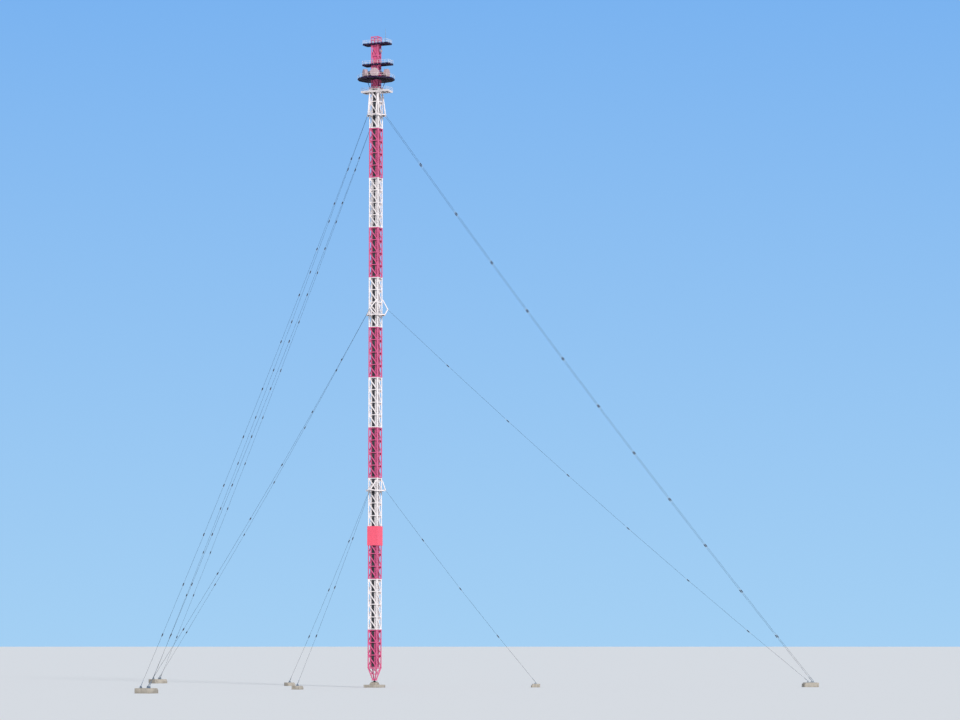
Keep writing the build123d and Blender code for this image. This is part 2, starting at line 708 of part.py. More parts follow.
def small_dish():
    """Small drum on an arm from the column."""
    wall = HEAD_SIDE / 2 + BRACE_T / 2 + FIT
    reach = SMALL_DISH_ARM + SMALL_DISH_L / 2
    arm = block(reach, BRACE, BRACE, x=wall + reach / 2)
    drum = Pos(wall + reach, 0, BRACE / 2) * Rot(0, 90, 0) * Cylinder(SMALL_DISH_D / 2, SMALL_DISH_L)
    return [Pos(0, 0, HEAD_Z + SMALL_DISH_RISE) * Rot(0, 0, PLATFORM_HEADING) * fuse([arm, drum])]


def obstruction_lamps():
    """Red lamps on the guy rings and near the two ends of the top platform."""
    base_h = LAMP_H * 0.4
    base = extrude(octagon(LAMP_D), base_h)
    dome = Pos(0, 0, base_h) * extrude(octagon(LAMP_D * 0.75), LAMP_H - base_h)
    lamp = fuse([base, dome])
    inset = RING_BEAM / 2 + LAMP_D
    spots = []
    for level in LEVELS.values():
        low = level.ring_z + RING_DECK_T / 2 + FIT
        spots += [at(RING_R - inset, heading, low) for heading in GUY_HEADINGS]
    for reach in (-HEAD_HOLE / 2 - TOP_REACH[0] + LAMP_INSET, HEAD_HOLE / 2 + TOP_REACH[1] - LAMP_INSET):
        spots.append(at(reach, PLATFORM_HEADING, TOP_DECK_Z + FIT))
    return [Pos(spot.X, spot.Y, spot.Z) * lamp for spot in spots]


def all_nodes():
    """Every piece of the mast by name."""
    low_z = HEAD_Z - LOW_DROP
    upper_z = HEAD_Z + UPPER_RISE
    nodes = {"base_block": base_block(), "foot_bearing": foot_bearing(), "mast_foot": mast_foot()}
    nodes |= mast_sections()
    nodes["head_seat"] = head_seat()
    nodes["head_column"] = head_column()
    nodes["service_duct_red"] = service_duct(0)
    nodes["service_duct_white"] = service_duct(1)
    nodes["ladders"] = ladders()
    nodes["feeder_cables"] = feeder_cables()
    nodes["landings"] = landings()
    nodes["red_casing"] = casing()
    nodes["dipole_panels"] = dipole_panels()
    for name, level in LEVELS.items():
        nodes[f"guy_ring_{name}"] = guy_ring(level)
        nodes[f"guys_{name}"] = guys(level)
    nodes["insulators"] = insulators()
    nodes["turnbuckles"] = turnbuckles()
    nodes["anchor_shoes"] = anchor_shoes()
    nodes["outer_anchors"] = outer_anchors()
    nodes["inner_anchors"] = inner_anchors()
    nodes["platform_low"] = long_platform(HOLE, LOW_REACH, HOLE, low_z)
    nodes["platform_dishes"] = dish_platform()
    nodes["platform_upper"] = long_platform(HEAD_HOLE, UPPER_REACH, HEAD_HOLE, upper_z)
    nodes["platform_top"] = long_platform(HEAD_HOLE, TOP_REACH, HEAD_SIDE - BEAM_W, TOP_DECK_Z)
    nodes["railings"] = [
        long_railing(HOLE, LOW_REACH, low_z),
        dish_railing(),
        long_railing(HEAD_HOLE, UPPER_REACH, upper_z),
        long_railing(HEAD_HOLE, TOP_REACH, TOP_DECK_Z),
    ]
    nodes["top_frame"] = top_frame()
    nodes["lightning_rod"] = lightning_rod()
    nodes["drum_dishes"] = drum_dishes()
    nodes["small_dish"] = small_dish()
    nodes["obstruction_lamps"] = obstruction_lamps()
    return nodes


os.makedirs("parts", exist_ok=True)
for node, pieces in all_nodes().items():
    solids = [solid for piece in pieces for solid in piece.solids()]
    export_step(solids[0] if len(solids) == 1 else Compound(solids), f"parts/{node}.step")
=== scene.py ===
import math
from typing import NamedTuple

import bmesh
import bpy
from bpy.props import FloatProperty, FloatVectorProperty, PointerProperty
from mathutils import Matrix, Vector
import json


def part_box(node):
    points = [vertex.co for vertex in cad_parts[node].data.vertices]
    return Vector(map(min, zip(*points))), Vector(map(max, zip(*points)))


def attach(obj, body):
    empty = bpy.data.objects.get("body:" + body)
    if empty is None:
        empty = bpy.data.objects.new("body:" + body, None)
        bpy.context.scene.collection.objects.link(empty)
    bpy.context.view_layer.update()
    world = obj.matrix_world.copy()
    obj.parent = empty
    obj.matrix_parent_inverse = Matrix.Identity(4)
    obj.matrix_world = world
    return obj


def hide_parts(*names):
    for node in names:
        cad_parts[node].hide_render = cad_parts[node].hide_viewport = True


bl_info = {
    "name": "Guyed Radio Mast",
    "version": (1, 0, 0),
    "blender": (4, 5, 0),
    "location": "3D View > Sidebar > Mast",
    "description": "Dresses a guyed lattice radio mast with its steelwork, stays and finishes",
    "category": "Object",
}

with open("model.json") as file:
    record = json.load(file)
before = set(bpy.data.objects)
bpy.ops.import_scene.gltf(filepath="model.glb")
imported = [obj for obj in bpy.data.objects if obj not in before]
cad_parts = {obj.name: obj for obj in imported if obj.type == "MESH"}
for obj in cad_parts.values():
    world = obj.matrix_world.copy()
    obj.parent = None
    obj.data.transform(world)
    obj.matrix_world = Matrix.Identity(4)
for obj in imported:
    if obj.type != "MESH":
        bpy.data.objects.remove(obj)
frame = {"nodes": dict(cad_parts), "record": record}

# Lengths are metres of the model, which is one tenth of the real mast.
# A heading is an angle on plan in degrees from +X, turning towards +Y.
LEG_HEADINGS = [18.0 + 90.0 * k for k in range(4)]
SIDE_HEADINGS = [heading + 45.0 for heading in LEG_HEADINGS]
FEEDER_SIDE, LADDER_SIDE = SIDE_HEADINGS[2:]
PLATFORM_HEADING = LADDER_SIDE - 360.0
GUY_HEADINGS = (3.0, 123.0, 243.0)
DRUM_HEADINGS = (198.0, 262.0, 333.0, 63.0, 128.0)
SECTIONS = [f"mast_section_{number:02d}" for number in range(1, 13)]
UP = Vector((0.0, 0.0, 1.0))
BOTH = (-1.0, 1.0)
SQUARE = ((-1, -1), (1, -1), (1, 1), (-1, 1))


def linear(colour):
    """Linear red, green, blue and alpha of an sRGB hex colour."""
    parts = [int(colour[k:k + 2], 16) / 255.0 for k in (1, 3, 5)]
    return [c / 12.92 if c <= 0.04045 else ((c + 0.055) / 1.055) ** 2.4 for c in parts] + [1.0]


def length(name, about, default):
    """A length in metres that the sidebar shows."""
    return FloatProperty(name=name, description=about, default=default, min=0.0, precision=4, unit="LENGTH")


def shade(name, about, default):
    """A paint colour that the sidebar shows."""
    return FloatVectorProperty(name=name, description=about, default=linear(default)[:3], min=0.0, max=1.0,
                               size=3, subtype="COLOR")


class MastSizes(bpy.types.PropertyGroup):
    """Sizes of the mast's steelwork and of what hangs on it."""

    fit: length("Fit", "Clear space between neighbours that don't touch", 0.0003)
    side: length("Mast side", "Between the leg centres of the mast", 0.27)
    bay: length("Bay", "Height of one bay of the mast", 0.36)
    upper_bay: length("Upper bay", "Height of a bay of the highest section", 0.387)
    leg: length("Leg", "Diameter of a leg tube of the mast", 0.0336)
    head_side: length("Column side", "Between the leg centres of the head's column", 0.2)
    head_bay: length("Column bay", "Height of one bay of the head's column", 0.315)
    head_leg: length("Column leg", "Diameter of a leg tube of the head's column", 0.0286)
    brace: length("Brace", "Width of a level angle iron", 0.022)
    diagonal: length("Diagonal", "Width of a sloping angle iron", 0.032)
    brace_depth: length("Brace depth", "Depth of an angle-iron brace across its side", 0.01)
    brace_t: length("Brace thickness", "Thickness of an angle-iron brace", 0.0028)
    flange: length("Flange", "Diameter of a leg flange", 0.048)
    flange_t: length("Flange thickness", "Thickness of a leg flange", 0.006)
    bolt: length("Bolt head", "Across the flats of a bolt head", 0.0054)
    duct: length("Duct", "Outside width of the service duct in the mast", 0.2)
    head_duct: length("Column duct", "Outside width of the service duct in the head's column", 0.156)
    duct_rib: length("Duct rib", "Depth of the ribs of the duct's sheets", 0.003)
    feeder: length("Feeder", "Diameter of a feeder cable", 0.009)
    ring_beam: length("Ring beam", "Height of the beams of a guy ring", 0.034)
    strut: length("Strut", "Diameter of a guy ring's strut", 0.03)
    rope: length("Guy rope", "Diameter of a guy rope", 0.0055)
    rope_lay: length("Rope lay", "Length in which a strand goes once round its rope", 0.05)
    insulator: length("Insulator", "Diameter of a guy insulator", 0.032)
    insulator_l: length("Insulator length", "Length of a guy insulator", 0.11)
    rail: length("Rail", "Diameter of the railing tubes", 0.006)
    rail_h: length("Railing height", "Height of the railings", 0.11)
    beam_h: length("Beam", "Height of the platform beams under their decks", 0.028)
    top_bar: length("Top frame bar", "Width of the bars of the frame on the highest deck", 0.024)
    drum: length("Drum", "Diameter of a dish drum", 0.26)
    drum_l: length("Drum depth", "Depth of a dish drum", 0.12)
    casing_rib: length("Casing rib", "Pitch of the ribs of the red casing", 0.04)


class MastColours(bpy.types.PropertyGroup):
    """Colours of the mast's finishes."""

    red: shade("Red", "Red bands and the head", "#D65A8A")
    white: shade("White", "White bands", "#F1EAEC")
    casing: shade("Casing", "Closed casing over the third band", "#F65C77")
    # Nearly black purple: painted shade, standing for the shade under the platforms.
    deck_paint: shade("Deck paint", "Beams, rims and struts of the platforms", "#28123A")
    zinc: shade("Zinc", "Galvanised ladders, fittings and posts", "#9DA2A6")
    # Nearly black: painted shade, standing for the shaded undersides of the decks.
    deck: shade("Deck", "Deck plates and landings", "#29252F")
    rope: shade("Rope", "Guy ropes", "#303439")
    glaze: shade("Glaze", "Porcelain of the guy insulators", "#2E1A10")
    jacket: shade("Jacket", "Feeder cables", "#2A2B2E")
    concrete: shade("Concrete", "Base block and anchors", "#A8A298")
    bearing: shade("Bearing", "Foot bearing", "#3B3C3E")
    drum: shade("Drum", "Shells and covers of the dishes", "#B79CA5")
    lamp: shade("Lamp", "Glass of the obstruction lamps", "#B3120E")


class GuyLevel(NamedTuple):
    """One guy ring of the mast, with its lugs, struts, guys and anchors."""

    name: str
    ring_z: float
    places: tuple
    lug_out: float
    lug_rise: float
    strut_rise: float
    insulators: int
    pin_r: float
    anchor_h: float


CORNER_R = 0.27 / math.sqrt(2)
RING_R = CORNER_R + 0.074
RING_HALF = (2 * (CORNER_R + 0.05) - RING_R) / math.sqrt(3)
RING_LUG_D = 0.04
STRUT_EYE = 0.55
BUCKLE_L = 0.15
LUG_D = 0.024
LUG_W = 0.026
PIN_RISE = 0.046
SAG = 0.012
LEVELS = (
    GuyLevel("upper", 16.427, (-RING_HALF, RING_HALF), 0.0, 0.0, 0.61, 11, 12.6, 0.13),
    GuyLevel("middle", 10.64, (0.0,), 0.085, 0.16, 0.44, 6, 12.47, 0.13),
    GuyLevel("lower", 5.6, (0.0,), 0.03, 0.02, 0.29, 3, 4.6, 0.1),
)


def at(radius, heading, z=0.0, sideways=0.0):
    """Point out along a heading, and to its left."""
    x, y = math.cos(math.radians(heading)), math.sin(math.radians(heading))
    return Vector((radius * x - sideways * y, radius * y + sideways * x, z))


def moved(place, x=0.0, y=0.0, z=0.0):
    """A place shifted along its own axes."""
    return place @ Matrix.Translation((x, y, z))


def turned(place, degrees, axis="Z"):
    """A place turned about one of its own axes."""
    return place @ Matrix.Rotation(math.radians(degrees), 4, axis)


def plan_place(heading, z=0.0, out=0.0):
    """Place on plan: X runs along a heading and Z is up."""
    return moved(turned(Matrix.Translation((0.0, 0.0, z)), heading), out)


def side_place(heading, out=0.0, z=0.0):
    """Place on one side of the mast: X runs along the side, Y points out and Z is up."""
    return moved(plan_place(heading - 90.0, z), 0.0, out)


def axes_place(spot, *ways):
    """Place at a spot from the ways that its three axes point."""
    place = Matrix(ways).transposed().to_4x4()
    place.translation = spot
    return place


def bar_place(start, end, towards=UP):
    """Place at the start of a bar: Z runs to its end, and Y leans as far as it can the given way."""
    along = (end - start).normalized()
    across = towards.cross(along).normalized()
    return axes_place(start, across, along.cross(across), along)


def round_pairs(items):
    """Each item with the next one, and the last with the first."""
    return zip(items, items[1:] + items[:1])


def add_block(bm, size, place):
    """Block with its middle at a place."""
    return bmesh.ops.create_cube(bm, size=1.0, matrix=place @ Matrix.Diagonal((*size, 1.0)))["verts"]


def add_tube(bm, start, end, radius, sides=12, end_radius=None):
    """Closed tube or cone between two points."""
    line = end - start
    turn = line.to_track_quat("Z", "Y").to_matrix().to_4x4()
    far = radius if end_radius is None else end_radius
    bmesh.ops.create_cone(bm, cap_ends=True, segments=sides, radius1=radius, radius2=far, depth=line.length,
                          matrix=Matrix.Translation((start + end) / 2) @ turn)


def raise_faces(bm, faces, way):
    """Thickens some faces one way, and gives the corners of the far side."""
    grown = bmesh.ops.extrude_face_region(bm, geom=faces)["geom"]
    tips = [v for v in grown if isinstance(v, bmesh.types.BMVert)]
    bmesh.ops.translate(bm, verts=tips, vec=way)
    return tips


def add_bar(bm, outline, place, depth):
    """Bar of one outline in X and Y, drawn out along Z."""
    corners = [bm.verts.new(place @ Vector((x, y, 0.0))) for x, y in outline]
    return corners + raise_faces(bm, [bm.faces.new(corners)], place.to_3x3() @ Vector((0.0, 0.0, depth)))


def add_beam(bm, outline, start, end, towards=UP, turn=0.0):
    """Bar of one outline between two points."""
    add_bar(bm, outline, turned(bar_place(start, end, towards), turn), (end - start).length)


def add_sheet(bm, outer, inner, thickness):
    """Level sheet between two rings of points, with its underside in their plane."""
    edges = []
    for ring in (outer, inner):
        edges += [bm.edges.new(pair) for pair in round_pairs([bm.verts.new(spot) for spot in ring])]
    bmesh.ops.triangle_fill(bm, edges=edges, use_beauty=True)
    raise_faces(bm, bm.faces[:], UP * thickness)


def add_turned(bm, profile, place, steps=24):
    """Round shape spun about Z from points of radius and height."""
    count = len(bm.verts)
    corners = [bm.verts.new(place @ Vector((r, 0.0, z))) for r, z in profile]
    edges = [bm.edges.new(pair) for pair in zip(corners, corners[1:])]
    bmesh.ops.spin(bm, geom=corners + edges, cent=place.translation, axis=place.to_3x3() @ UP,
                   angle=2 * math.pi, steps=steps, use_merge=True)
    bm.verts.ensure_lookup_table()
    bmesh.ops.remove_doubles(bm, verts=bm.verts[count:], dist=1e-6)


def add_copy(bm, model, place):
    """Another copy of a finished mesh at a place."""
    count = len(bm.verts)
    bm.from_mesh(model)
    bm.verts.ensure_lookup_table()
    bmesh.ops.transform(bm, matrix=place, verts=bm.verts[count:])


def add_bolt(bm, base, out, across, height):
    """Hexagonal bolt head that stands on a face."""
    add_tube(bm, base, base + out * height, across / math.sqrt(3), 6)


def bevel(bm, verts, width, segments=2):
    """Rounds the edges that run between some corners."""
    chosen = set(verts)
    edges = [e for e in bm.edges if e.verts[0] in chosen and e.verts[1] in chosen]
    bmesh.ops.bevel(bm, geom=edges, offset=width, offset_type="OFFSET", segments=segments, profile=0.5,
                    affect="EDGES", clamp_overlap=True, material=-1)


def angle_outline(width, sizes):
    """Angle iron, with its broad leaf on the +Y side."""
    x, y, t = width / 2, sizes.brace_depth / 2, sizes.brace_t
    return [(-x, y - t), (x - t, y - t), (x - t, -y), (x, -y), (x, y), (-x, y)]


def channel_outline(width, height, t):
    """Channel, open towards +X, with its flanges at top and bottom."""
    x, y = width / 2, height / 2
    return [(-x, -y), (x, -y), (x, t - y), (t - x, t - y), (t - x, y - t), (x, y - t), (x, y), (-x, y)]


def beam_outline(width, height, thickness):
    """Beam with two flanges and a web."""
    x, y, t = width / 2, height / 2, thickness / 2
    right = [(x, -y), (x, 2 * t - y), (t, 2 * t - y), (t, y - 2 * t), (x, y - 2 * t), (x, y)]
    return right + [(-a, -b) for a, b in right]


def mesh_of(bm, name):
    """Mesh with outward faces and crisp edges from a bmesh, which is freed."""
    bmesh.ops.recalc_face_normals(bm, faces=bm.faces)
    mesh = bpy.data.meshes.new(name)
    bm.to_mesh(mesh)
    bm.free()
    mesh.shade_smooth()
    mesh.set_sharp_from_angle(angle=math.radians(38.0))
    return mesh


def place_mesh(mesh, name, slot, *stands_for):
    """Object for a mesh, which rides on the mast and stands for some of its nodes."""
    piece = bpy.data.objects.new(name, mesh)
    bpy.context.scene.collection.objects.link(piece)
    mesh.materials.append(bpy.data.materials[slot])
    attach(piece, "root")
    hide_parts(*stands_for)


def place_piece(bm, name, slot, *stands_for):
    """Piece made from a bmesh."""
    place_mesh(mesh_of(bm, name), name, slot, *stands_for)


def set_inputs(tree, node, inputs):
    """A value or a link for each named input of a node."""
    for name, value in inputs.items():
        if isinstance(value, bpy.types.NodeSocket):
            tree.links.new(value, node.inputs[name])
        else:
            node.inputs[name].default_value = value


def add_node(tree, kind, inputs=None, **settings):
    """One shader node with its settings and inputs."""
    made = tree.nodes.new("ShaderNode" + kind)
    for name, value in settings.items():
        setattr(made, name, value)
    set_inputs(tree, made, inputs or {})
    return made


def set_ramp(ramp, stops):
    """Colours of a ramp from places and linear colours."""
    points = ramp.color_ramp.elements
    while len(points) < len(stops):
        points.new(0.5)
    for point, (place, colour) in zip(points, stops):
        point.position = place
        point.color = colour


def tinted(colour, factor, tint=(1.0, 1.0, 1.0)):
    """Colour made lighter or darker, with a tint."""
    return [min(1.0, c * factor * t) for c, t in zip(colour, tint)] + [1.0]


class Finish:
    """Emptied material of one name with a new shader, and short ways to its nodes."""

    def __init__(self, name):
        material = bpy.data.materials.get(name) or bpy.data.materials.new(name)
        material.use_nodes = True
        self.tree = material.node_tree
        self.tree.nodes.clear()
        self.shader = add_node(self.tree, "BsdfPrincipled")
        add_node(self.tree, "OutputMaterial", {"Surface": self.shader.outputs["BSDF"]})

    def place(self, scale=None, turn=0.0):
        """Place on the object, which can be stretched and turned."""
        place = add_node(self.tree, "TexCoord").outputs["Object"]
        if scale is None:
            return place
        inputs = {"Vector": place, "Rotation": (0.0, 0.0, math.radians(turn)), "Scale": scale}
        return add_node(self.tree, "Mapping", inputs).outputs["Vector"]

    def noise(self, place, scale, detail, rough=0.5):
        """Cloudy pattern."""
        inputs = {"Vector": place, "Scale": scale, "Detail": detail, "Roughness": rough}
        return add_node(self.tree, "TexNoise", inputs).outputs["Fac"]

    def cells(self, scale):
        """Pattern of cells."""
        return add_node(self.tree, "TexVoronoi", {"Vector": self.place(), "Scale": scale}).outputs

    def wave(self, scale, direction, profile="SIN", **more):
        """Pattern of bands."""
        inputs = {"Vector": self.place(), "Scale": scale, **more}
        settings = {"bands_direction": direction, "wave_profile": profile}
        return add_node(self.tree, "TexWave", inputs, **settings).outputs["Fac"]

    def spread(self, value, low, high, to_low, to_high):
        """Value carried from one range to another."""
        inputs = {"Value": value, "From Min": low, "From Max": high, "To Min": to_low, "To Max": to_high}
        return add_node(self.tree, "MapRange", inputs).outputs["Result"]

    def reckon(self, kind, *values):
        """Result of one kind of sum."""
        return add_node(self.tree, "Math", dict(enumerate(values)), operation=kind).outputs["Value"]

    def shades(self, value, colour, *stops):
        """Colour made lighter and darker by a value, from places, factors and tints."""
        ramp = add_node(self.tree, "ValToRGB", {"Fac": value})
        set_ramp(ramp, [(place, tinted(colour, *how)) for place, *how in stops])
        return ramp.outputs["Color"]

    def blend(self, factor, first, second):
        """Mix of two colours."""
        inputs = {"Factor": factor, "A": first, "B": second}
        return add_node(self.tree, "Mix", inputs, data_type="RGBA").outputs["Result"]

    def relief(self, height, strength, distance):
        """Raised and sunk skin that bends the light."""
        inputs = {"Height": height, "Strength": strength, "Distance": distance}
        return add_node(self.tree, "Bump", inputs).outputs["Normal"]

    def surface(self, colour, rough, **more):
        """Colour, roughness and whatever else the shader takes."""
        inputs = {name.replace("_", " "): value for name, value in more.items()}
        set_inputs(self.tree, self.shader, {"Base Color": colour, "Roughness": rough, **inputs})


def topcoat(name, colour, fade, grime="#757377", shine=0.5):
    """Alkyd topcoat brushed over galvanised steel.

    It gives the eye a strong satin colour that is chalky in patches about two metres wide, with grey
    streaks of rain dirt that run down and a few rusty specks at the joints.
    """
    finish = Finish(name)
    patches = finish.noise(finish.place(), 5.0, 3.0)
    paint = finish.shades(patches, colour, (0.32, 0.93), (0.6, 1.0), (0.78, fade))
    # Streaks of dirt are about 150 mm wide and 3 m long on the real mast.
    stretched = finish.place((70.0, 70.0, 3.4))
    dirt = finish.spread(finish.noise(stretched, 1.0, 4.0), 0.56, 0.8, 0.0, 0.24)
    dirty = finish.blend(dirt, paint, linear(grime))
    # Rust specks are 20 to 60 mm across there.
    rust = finish.spread(finish.noise(finish.place(), 240.0, 2.0), 0.71, 0.76, 0.0, 0.7)
    # Brush marks are 8 mm apart on the real mast.
    marks = finish.relief(finish.noise(stretched, 14.0, 2.0), 0.25, 0.0004)
    finish.surface(finish.blend(rust, dirty, linear("#6E3A1E")), finish.spread(patches, 0.0, 1.0, 0.34, 0.58),
                   Normal=marks, IOR=1.5, Specular_IOR_Level=shine)


def galvanised(name, colour):
    """Hot-dip galvanised steel, dull with age.

    It gives the eye a mottled grey metal, with zinc crystals in slightly different greys. The real
    crystals are 10 to 20 mm across, and are drawn at 60 mm so that they show.
    """
    finish = Finish(name)
    crystals = finish.cells(165.0)
    greys = finish.shades(crystals["Color"], colour, (0.1, 0.82), (0.5, 1.0), (0.9, 1.2))
    dull = finish.spread(finish.noise(finish.place(), 12.0, 4.0), 0.45, 0.75, 0.0, 0.5)
    mixed = finish.blend(dull, greys, tinted(colour, 0.62, (1.06, 1.0, 0.93)))
    finish.surface(mixed, finish.spread(crystals["Distance"], 0.0, 0.7, 0.38, 0.6), Metallic=0.8)


def chequer_plate(name, colour):
    """Rolled chequer plate, walked bare in places.

    It gives the eye a nearly black deck with raised lozenges, real pitch 30 mm, drawn at 120 mm; the nearly
    black is painted shade, standing for the shaded undersides of the decks.
    The plate is dull, so that little of the sky and the ground shows in it.
    """
    finish = Finish(name)
    turned_place = finish.place((83.0, 83.0, 83.0), 72.0)
    lozenges = add_node(finish.tree, "TexChecker", {"Vector": turned_place, "Scale": 1.0}).outputs["Fac"]
    worn = finish.noise(finish.place(), 16.0, 5.0)
    finish.surface(finish.shades(worn, colour, (0.3, 0.75), (0.55, 1.0), (0.75, 1.9)),
                   finish.spread(worn, 0.0, 1.0, 0.9, 0.7), Normal=finish.relief(lozenges, 0.6, 0.0008),
                   Specular_IOR_Level=0.2)


def stranded_rope(name, colour, strands):
    """Galvanised steel rope, greased, with its strands laid round it.

    It gives the eye a dark grey line with bright ridges that wind along it: the grooves between the strands
    are painted dark, which is painted shade, and the crests pale, which is painted highlight.
    U goes once round the rope and V counts its lays.
    """
    finish = Finish(name)
    lay = add_node(finish.tree, "UVMap").outputs["UV"]
    parts = add_node(finish.tree, "SeparateXYZ", {"Vector": lay}).outputs
    around = finish.reckon("MULTIPLY", parts["X"], strands)
    wound = finish.reckon("MULTIPLY_ADD", parts["Y"], strands, around)
    ridges = finish.reckon("PINGPONG", wound, 0.5)
    # The ramp paints the grooves between the strands dark as painted shade, and their crests pale as painted
    # highlight.
    finish.surface(finish.shades(ridges, colour, (0.0, 0.35), (0.2, 0.85), (0.5, 1.45)), 0.5,
                   Normal=finish.relief(ridges, 0.8, 0.0006), Metallic=0.7)


def glazed_porcelain(name, colour):
    """Brown glazed porcelain, dipped and fired.

    It gives the eye a dark glossy brown, paler where the glaze ran thin, with a film of dust on top.
    """
    finish = Finish(name)
    pools = finish.noise(finish.place(), 40.0, 2.0)
    finish.surface(finish.shades(pools, colour, (0.3, 0.7), (0.6, 1.1), (0.8, 1.9)),
                   finish.spread(pools, 0.0, 1.0, 0.12, 0.35), IOR=1.54)


def cable_jacket(name, colour):
    """Extruded black polyethylene over corrugated copper.

    It gives the eye a dull black with faint rings, real pitch 8 mm, drawn at 60 mm, and grey dust.
    """
    finish = Finish(name)
    dust = finish.noise(finish.place(), 9.0, 4.0)
    finish.surface(finish.shades(dust, colour, (0.35, 0.8), (0.75, 2.6)), 0.55,
                   Normal=finish.relief(finish.wave(52.0, "Z"), 0.4, 0.0004))


def cast_concrete(name, colour):
    """Concrete cast against boards.

    It gives the eye pale grey-brown with the lines of 100 mm boards, dark rain stains under its
    edges and small holes left by air.
    """
    finish = Finish(name)
    clouds = finish.noise(finish.place(), 7.0, 6.0, 0.6)
    # The wave repeats at 2 pi over its scale and a factor of 20, so 31.4 gives boards 10 mm wide here.
    boards = finish.wave(31.4, "Z", "SAW", Distortion=0.4, Detail=2.0)
    pits = finish.spread(finish.cells(170.0)["Distance"], 0.08, 0.2, 0.0, 1.0)
    skin = finish.relief(finish.reckon("MULTIPLY_ADD", boards, 0.35, pits), 0.5, 0.0012)
    stain = finish.spread(finish.noise(finish.place((30.0, 30.0, 4.0)), 1.0, 4.0), 0.5, 0.75, 0.0, 0.5)
    dry = finish.shades(clouds, colour, (0.3, 0.72), (0.5, 1.0), (0.72, 1.18))
    finish.surface(finish.blend(stain, dry, linear("#5E5850")), 0.9, Normal=skin)


def cast_steel(name, colour):
    """Cast steel bearing, greased.

    It gives the eye a nearly black metal with a fine sandy skin and a soft shine of grease.
    """
    finish = Finish(name)
    grease = finish.noise(finish.place(), 25.0, 3.0)
    finish.surface(finish.shades(grease, colour, (0.3, 0.6), (0.7, 1.4, (1.1, 1.0, 0.9))),
                   finish.spread(grease, 0.0, 1.0, 0.3, 0.65), Metallic=0.8,
                   Normal=finish.relief(finish.noise(finish.place(), 300.0, 3.0), 0.3, 0.0006))


def glass_fibre(name, colour):
    """Glass-fibre cover with a gelcoat, sun-bleached.

    It gives the eye a pale pinkish grey, matt, with faint streaks of dirt below its rim.
    """
    finish = Finish(name)
    streaks = finish.noise(finish.place((38.0, 38.0, 6.0)), 1.0, 5.0)
    finish.surface(finish.shades(streaks, colour, (0.35, 1.04), (0.6, 0.95), (0.8, 0.72)), 0.6, IOR=1.5)


def lamp_glass(name, colour):
    """Pressed red glass of an obstruction lamp, ribbed inside.

    It gives the eye a deep red that shines, with pale upright ribs.
    """
    finish = Finish(name)
    ribs = finish.wave(160.0, "DIAGONAL")
    finish.surface(finish.shades(ribs, colour, (0.2, 0.7), (0.8, 1.5)), 0.12, IOR=1.5,
                   Transmission_Weight=0.3)


class PieceMaker:
    """What every operator of the mast does: it builds from the sizes in the sidebar."""

    def execute(self, context):
        self.build(context.scene.mast_sizes)
        return {"FINISHED"}


class MAST_OT_finishes(PieceMaker, bpy.types.Operator):
    """Makes the finishes and gives each node of the mast its own"""

    bl_idname = "mast.finishes"
    bl_label = "Finishes"

    def build(self, sizes):
        paint = bpy.context.scene.mast_colours
        topcoat("red_paint", paint.red, 1.12)
        topcoat("white_paint", paint.white, 1.04)
        topcoat("casing_paint", paint.casing, 1.06)
        # The nearly black purple of the deck beams, rims and struts is painted shade, standing for the shade
        # under the decks; its shine is low, so that little of the ground shows in it.
        topcoat("deck_paint", paint.deck_paint, 1.2, "#2E2430", 0.2)
        galvanised("galvanised_steel", paint.zinc)
        chequer_plate("dark_grating", paint.deck)
        stranded_rope("guy_rope", paint.rope, 6.0)
        glazed_porcelain("insulator_glaze", paint.glaze)
        cable_jacket("cable_jacket", paint.jacket)
        cast_concrete("concrete", paint.concrete)
        cast_steel("bearing_steel", paint.bearing)
        glass_fibre("drum_shell", paint.drum)
        lamp_glass("lamp_glass", paint.lamp)
        for part in frame["record"]["subparts"]:
            for slot in frame["nodes"][part["node"]].material_slots:
                slot.material = bpy.data.materials[part["material_slot"]]


def add_flange(bm, centre, way, sizes, heading):
    """Flange at one end of a leg, with its fins and bolts on the way that the leg goes."""
    radius = sizes.flange / 2
    face = centre + way * sizes.flange_t
    add_tube(bm, centre, face, radius, 20)
    fin = [(0.0, 0.0), (radius * 0.9, 0.0), (radius * 0.9, 0.0015), (0.0, radius * 0.95)]
    for k in range(6):
        spot = at(radius - sizes.bolt * 0.9, heading + 60.0 * k)
        add_bolt(bm, face + spot, way, sizes.bolt, sizes.bolt * 0.6)
        out = at(1.0, heading + 30.0 + 60.0 * k)
        across = out.cross(way)
        add_bar(bm, fin, axes_place(face - across * 0.0006, out, way, across), 0.0012)


def add_gusset(bm, place, x, z, climb, sizes):
    """Joint plate beside a leg, cut to the way that its diagonal climbs."""
    rise, reach = sizes.brace * climb, math.copysign(sizes.brace * 2.3, -x)
    plan = [(0.0, -0.7), (0.85, -0.7), (1.0, -0.5), (1.0, 0.6), (0.55, 2.3), (0.0, 2.3)]
    plan = [(x + reach * along, z + rise * up) for along, up in plan]
    add_bar(bm, plan, moved(turned(place, 90.0, "X"), z=-0.0023), 0.0032)


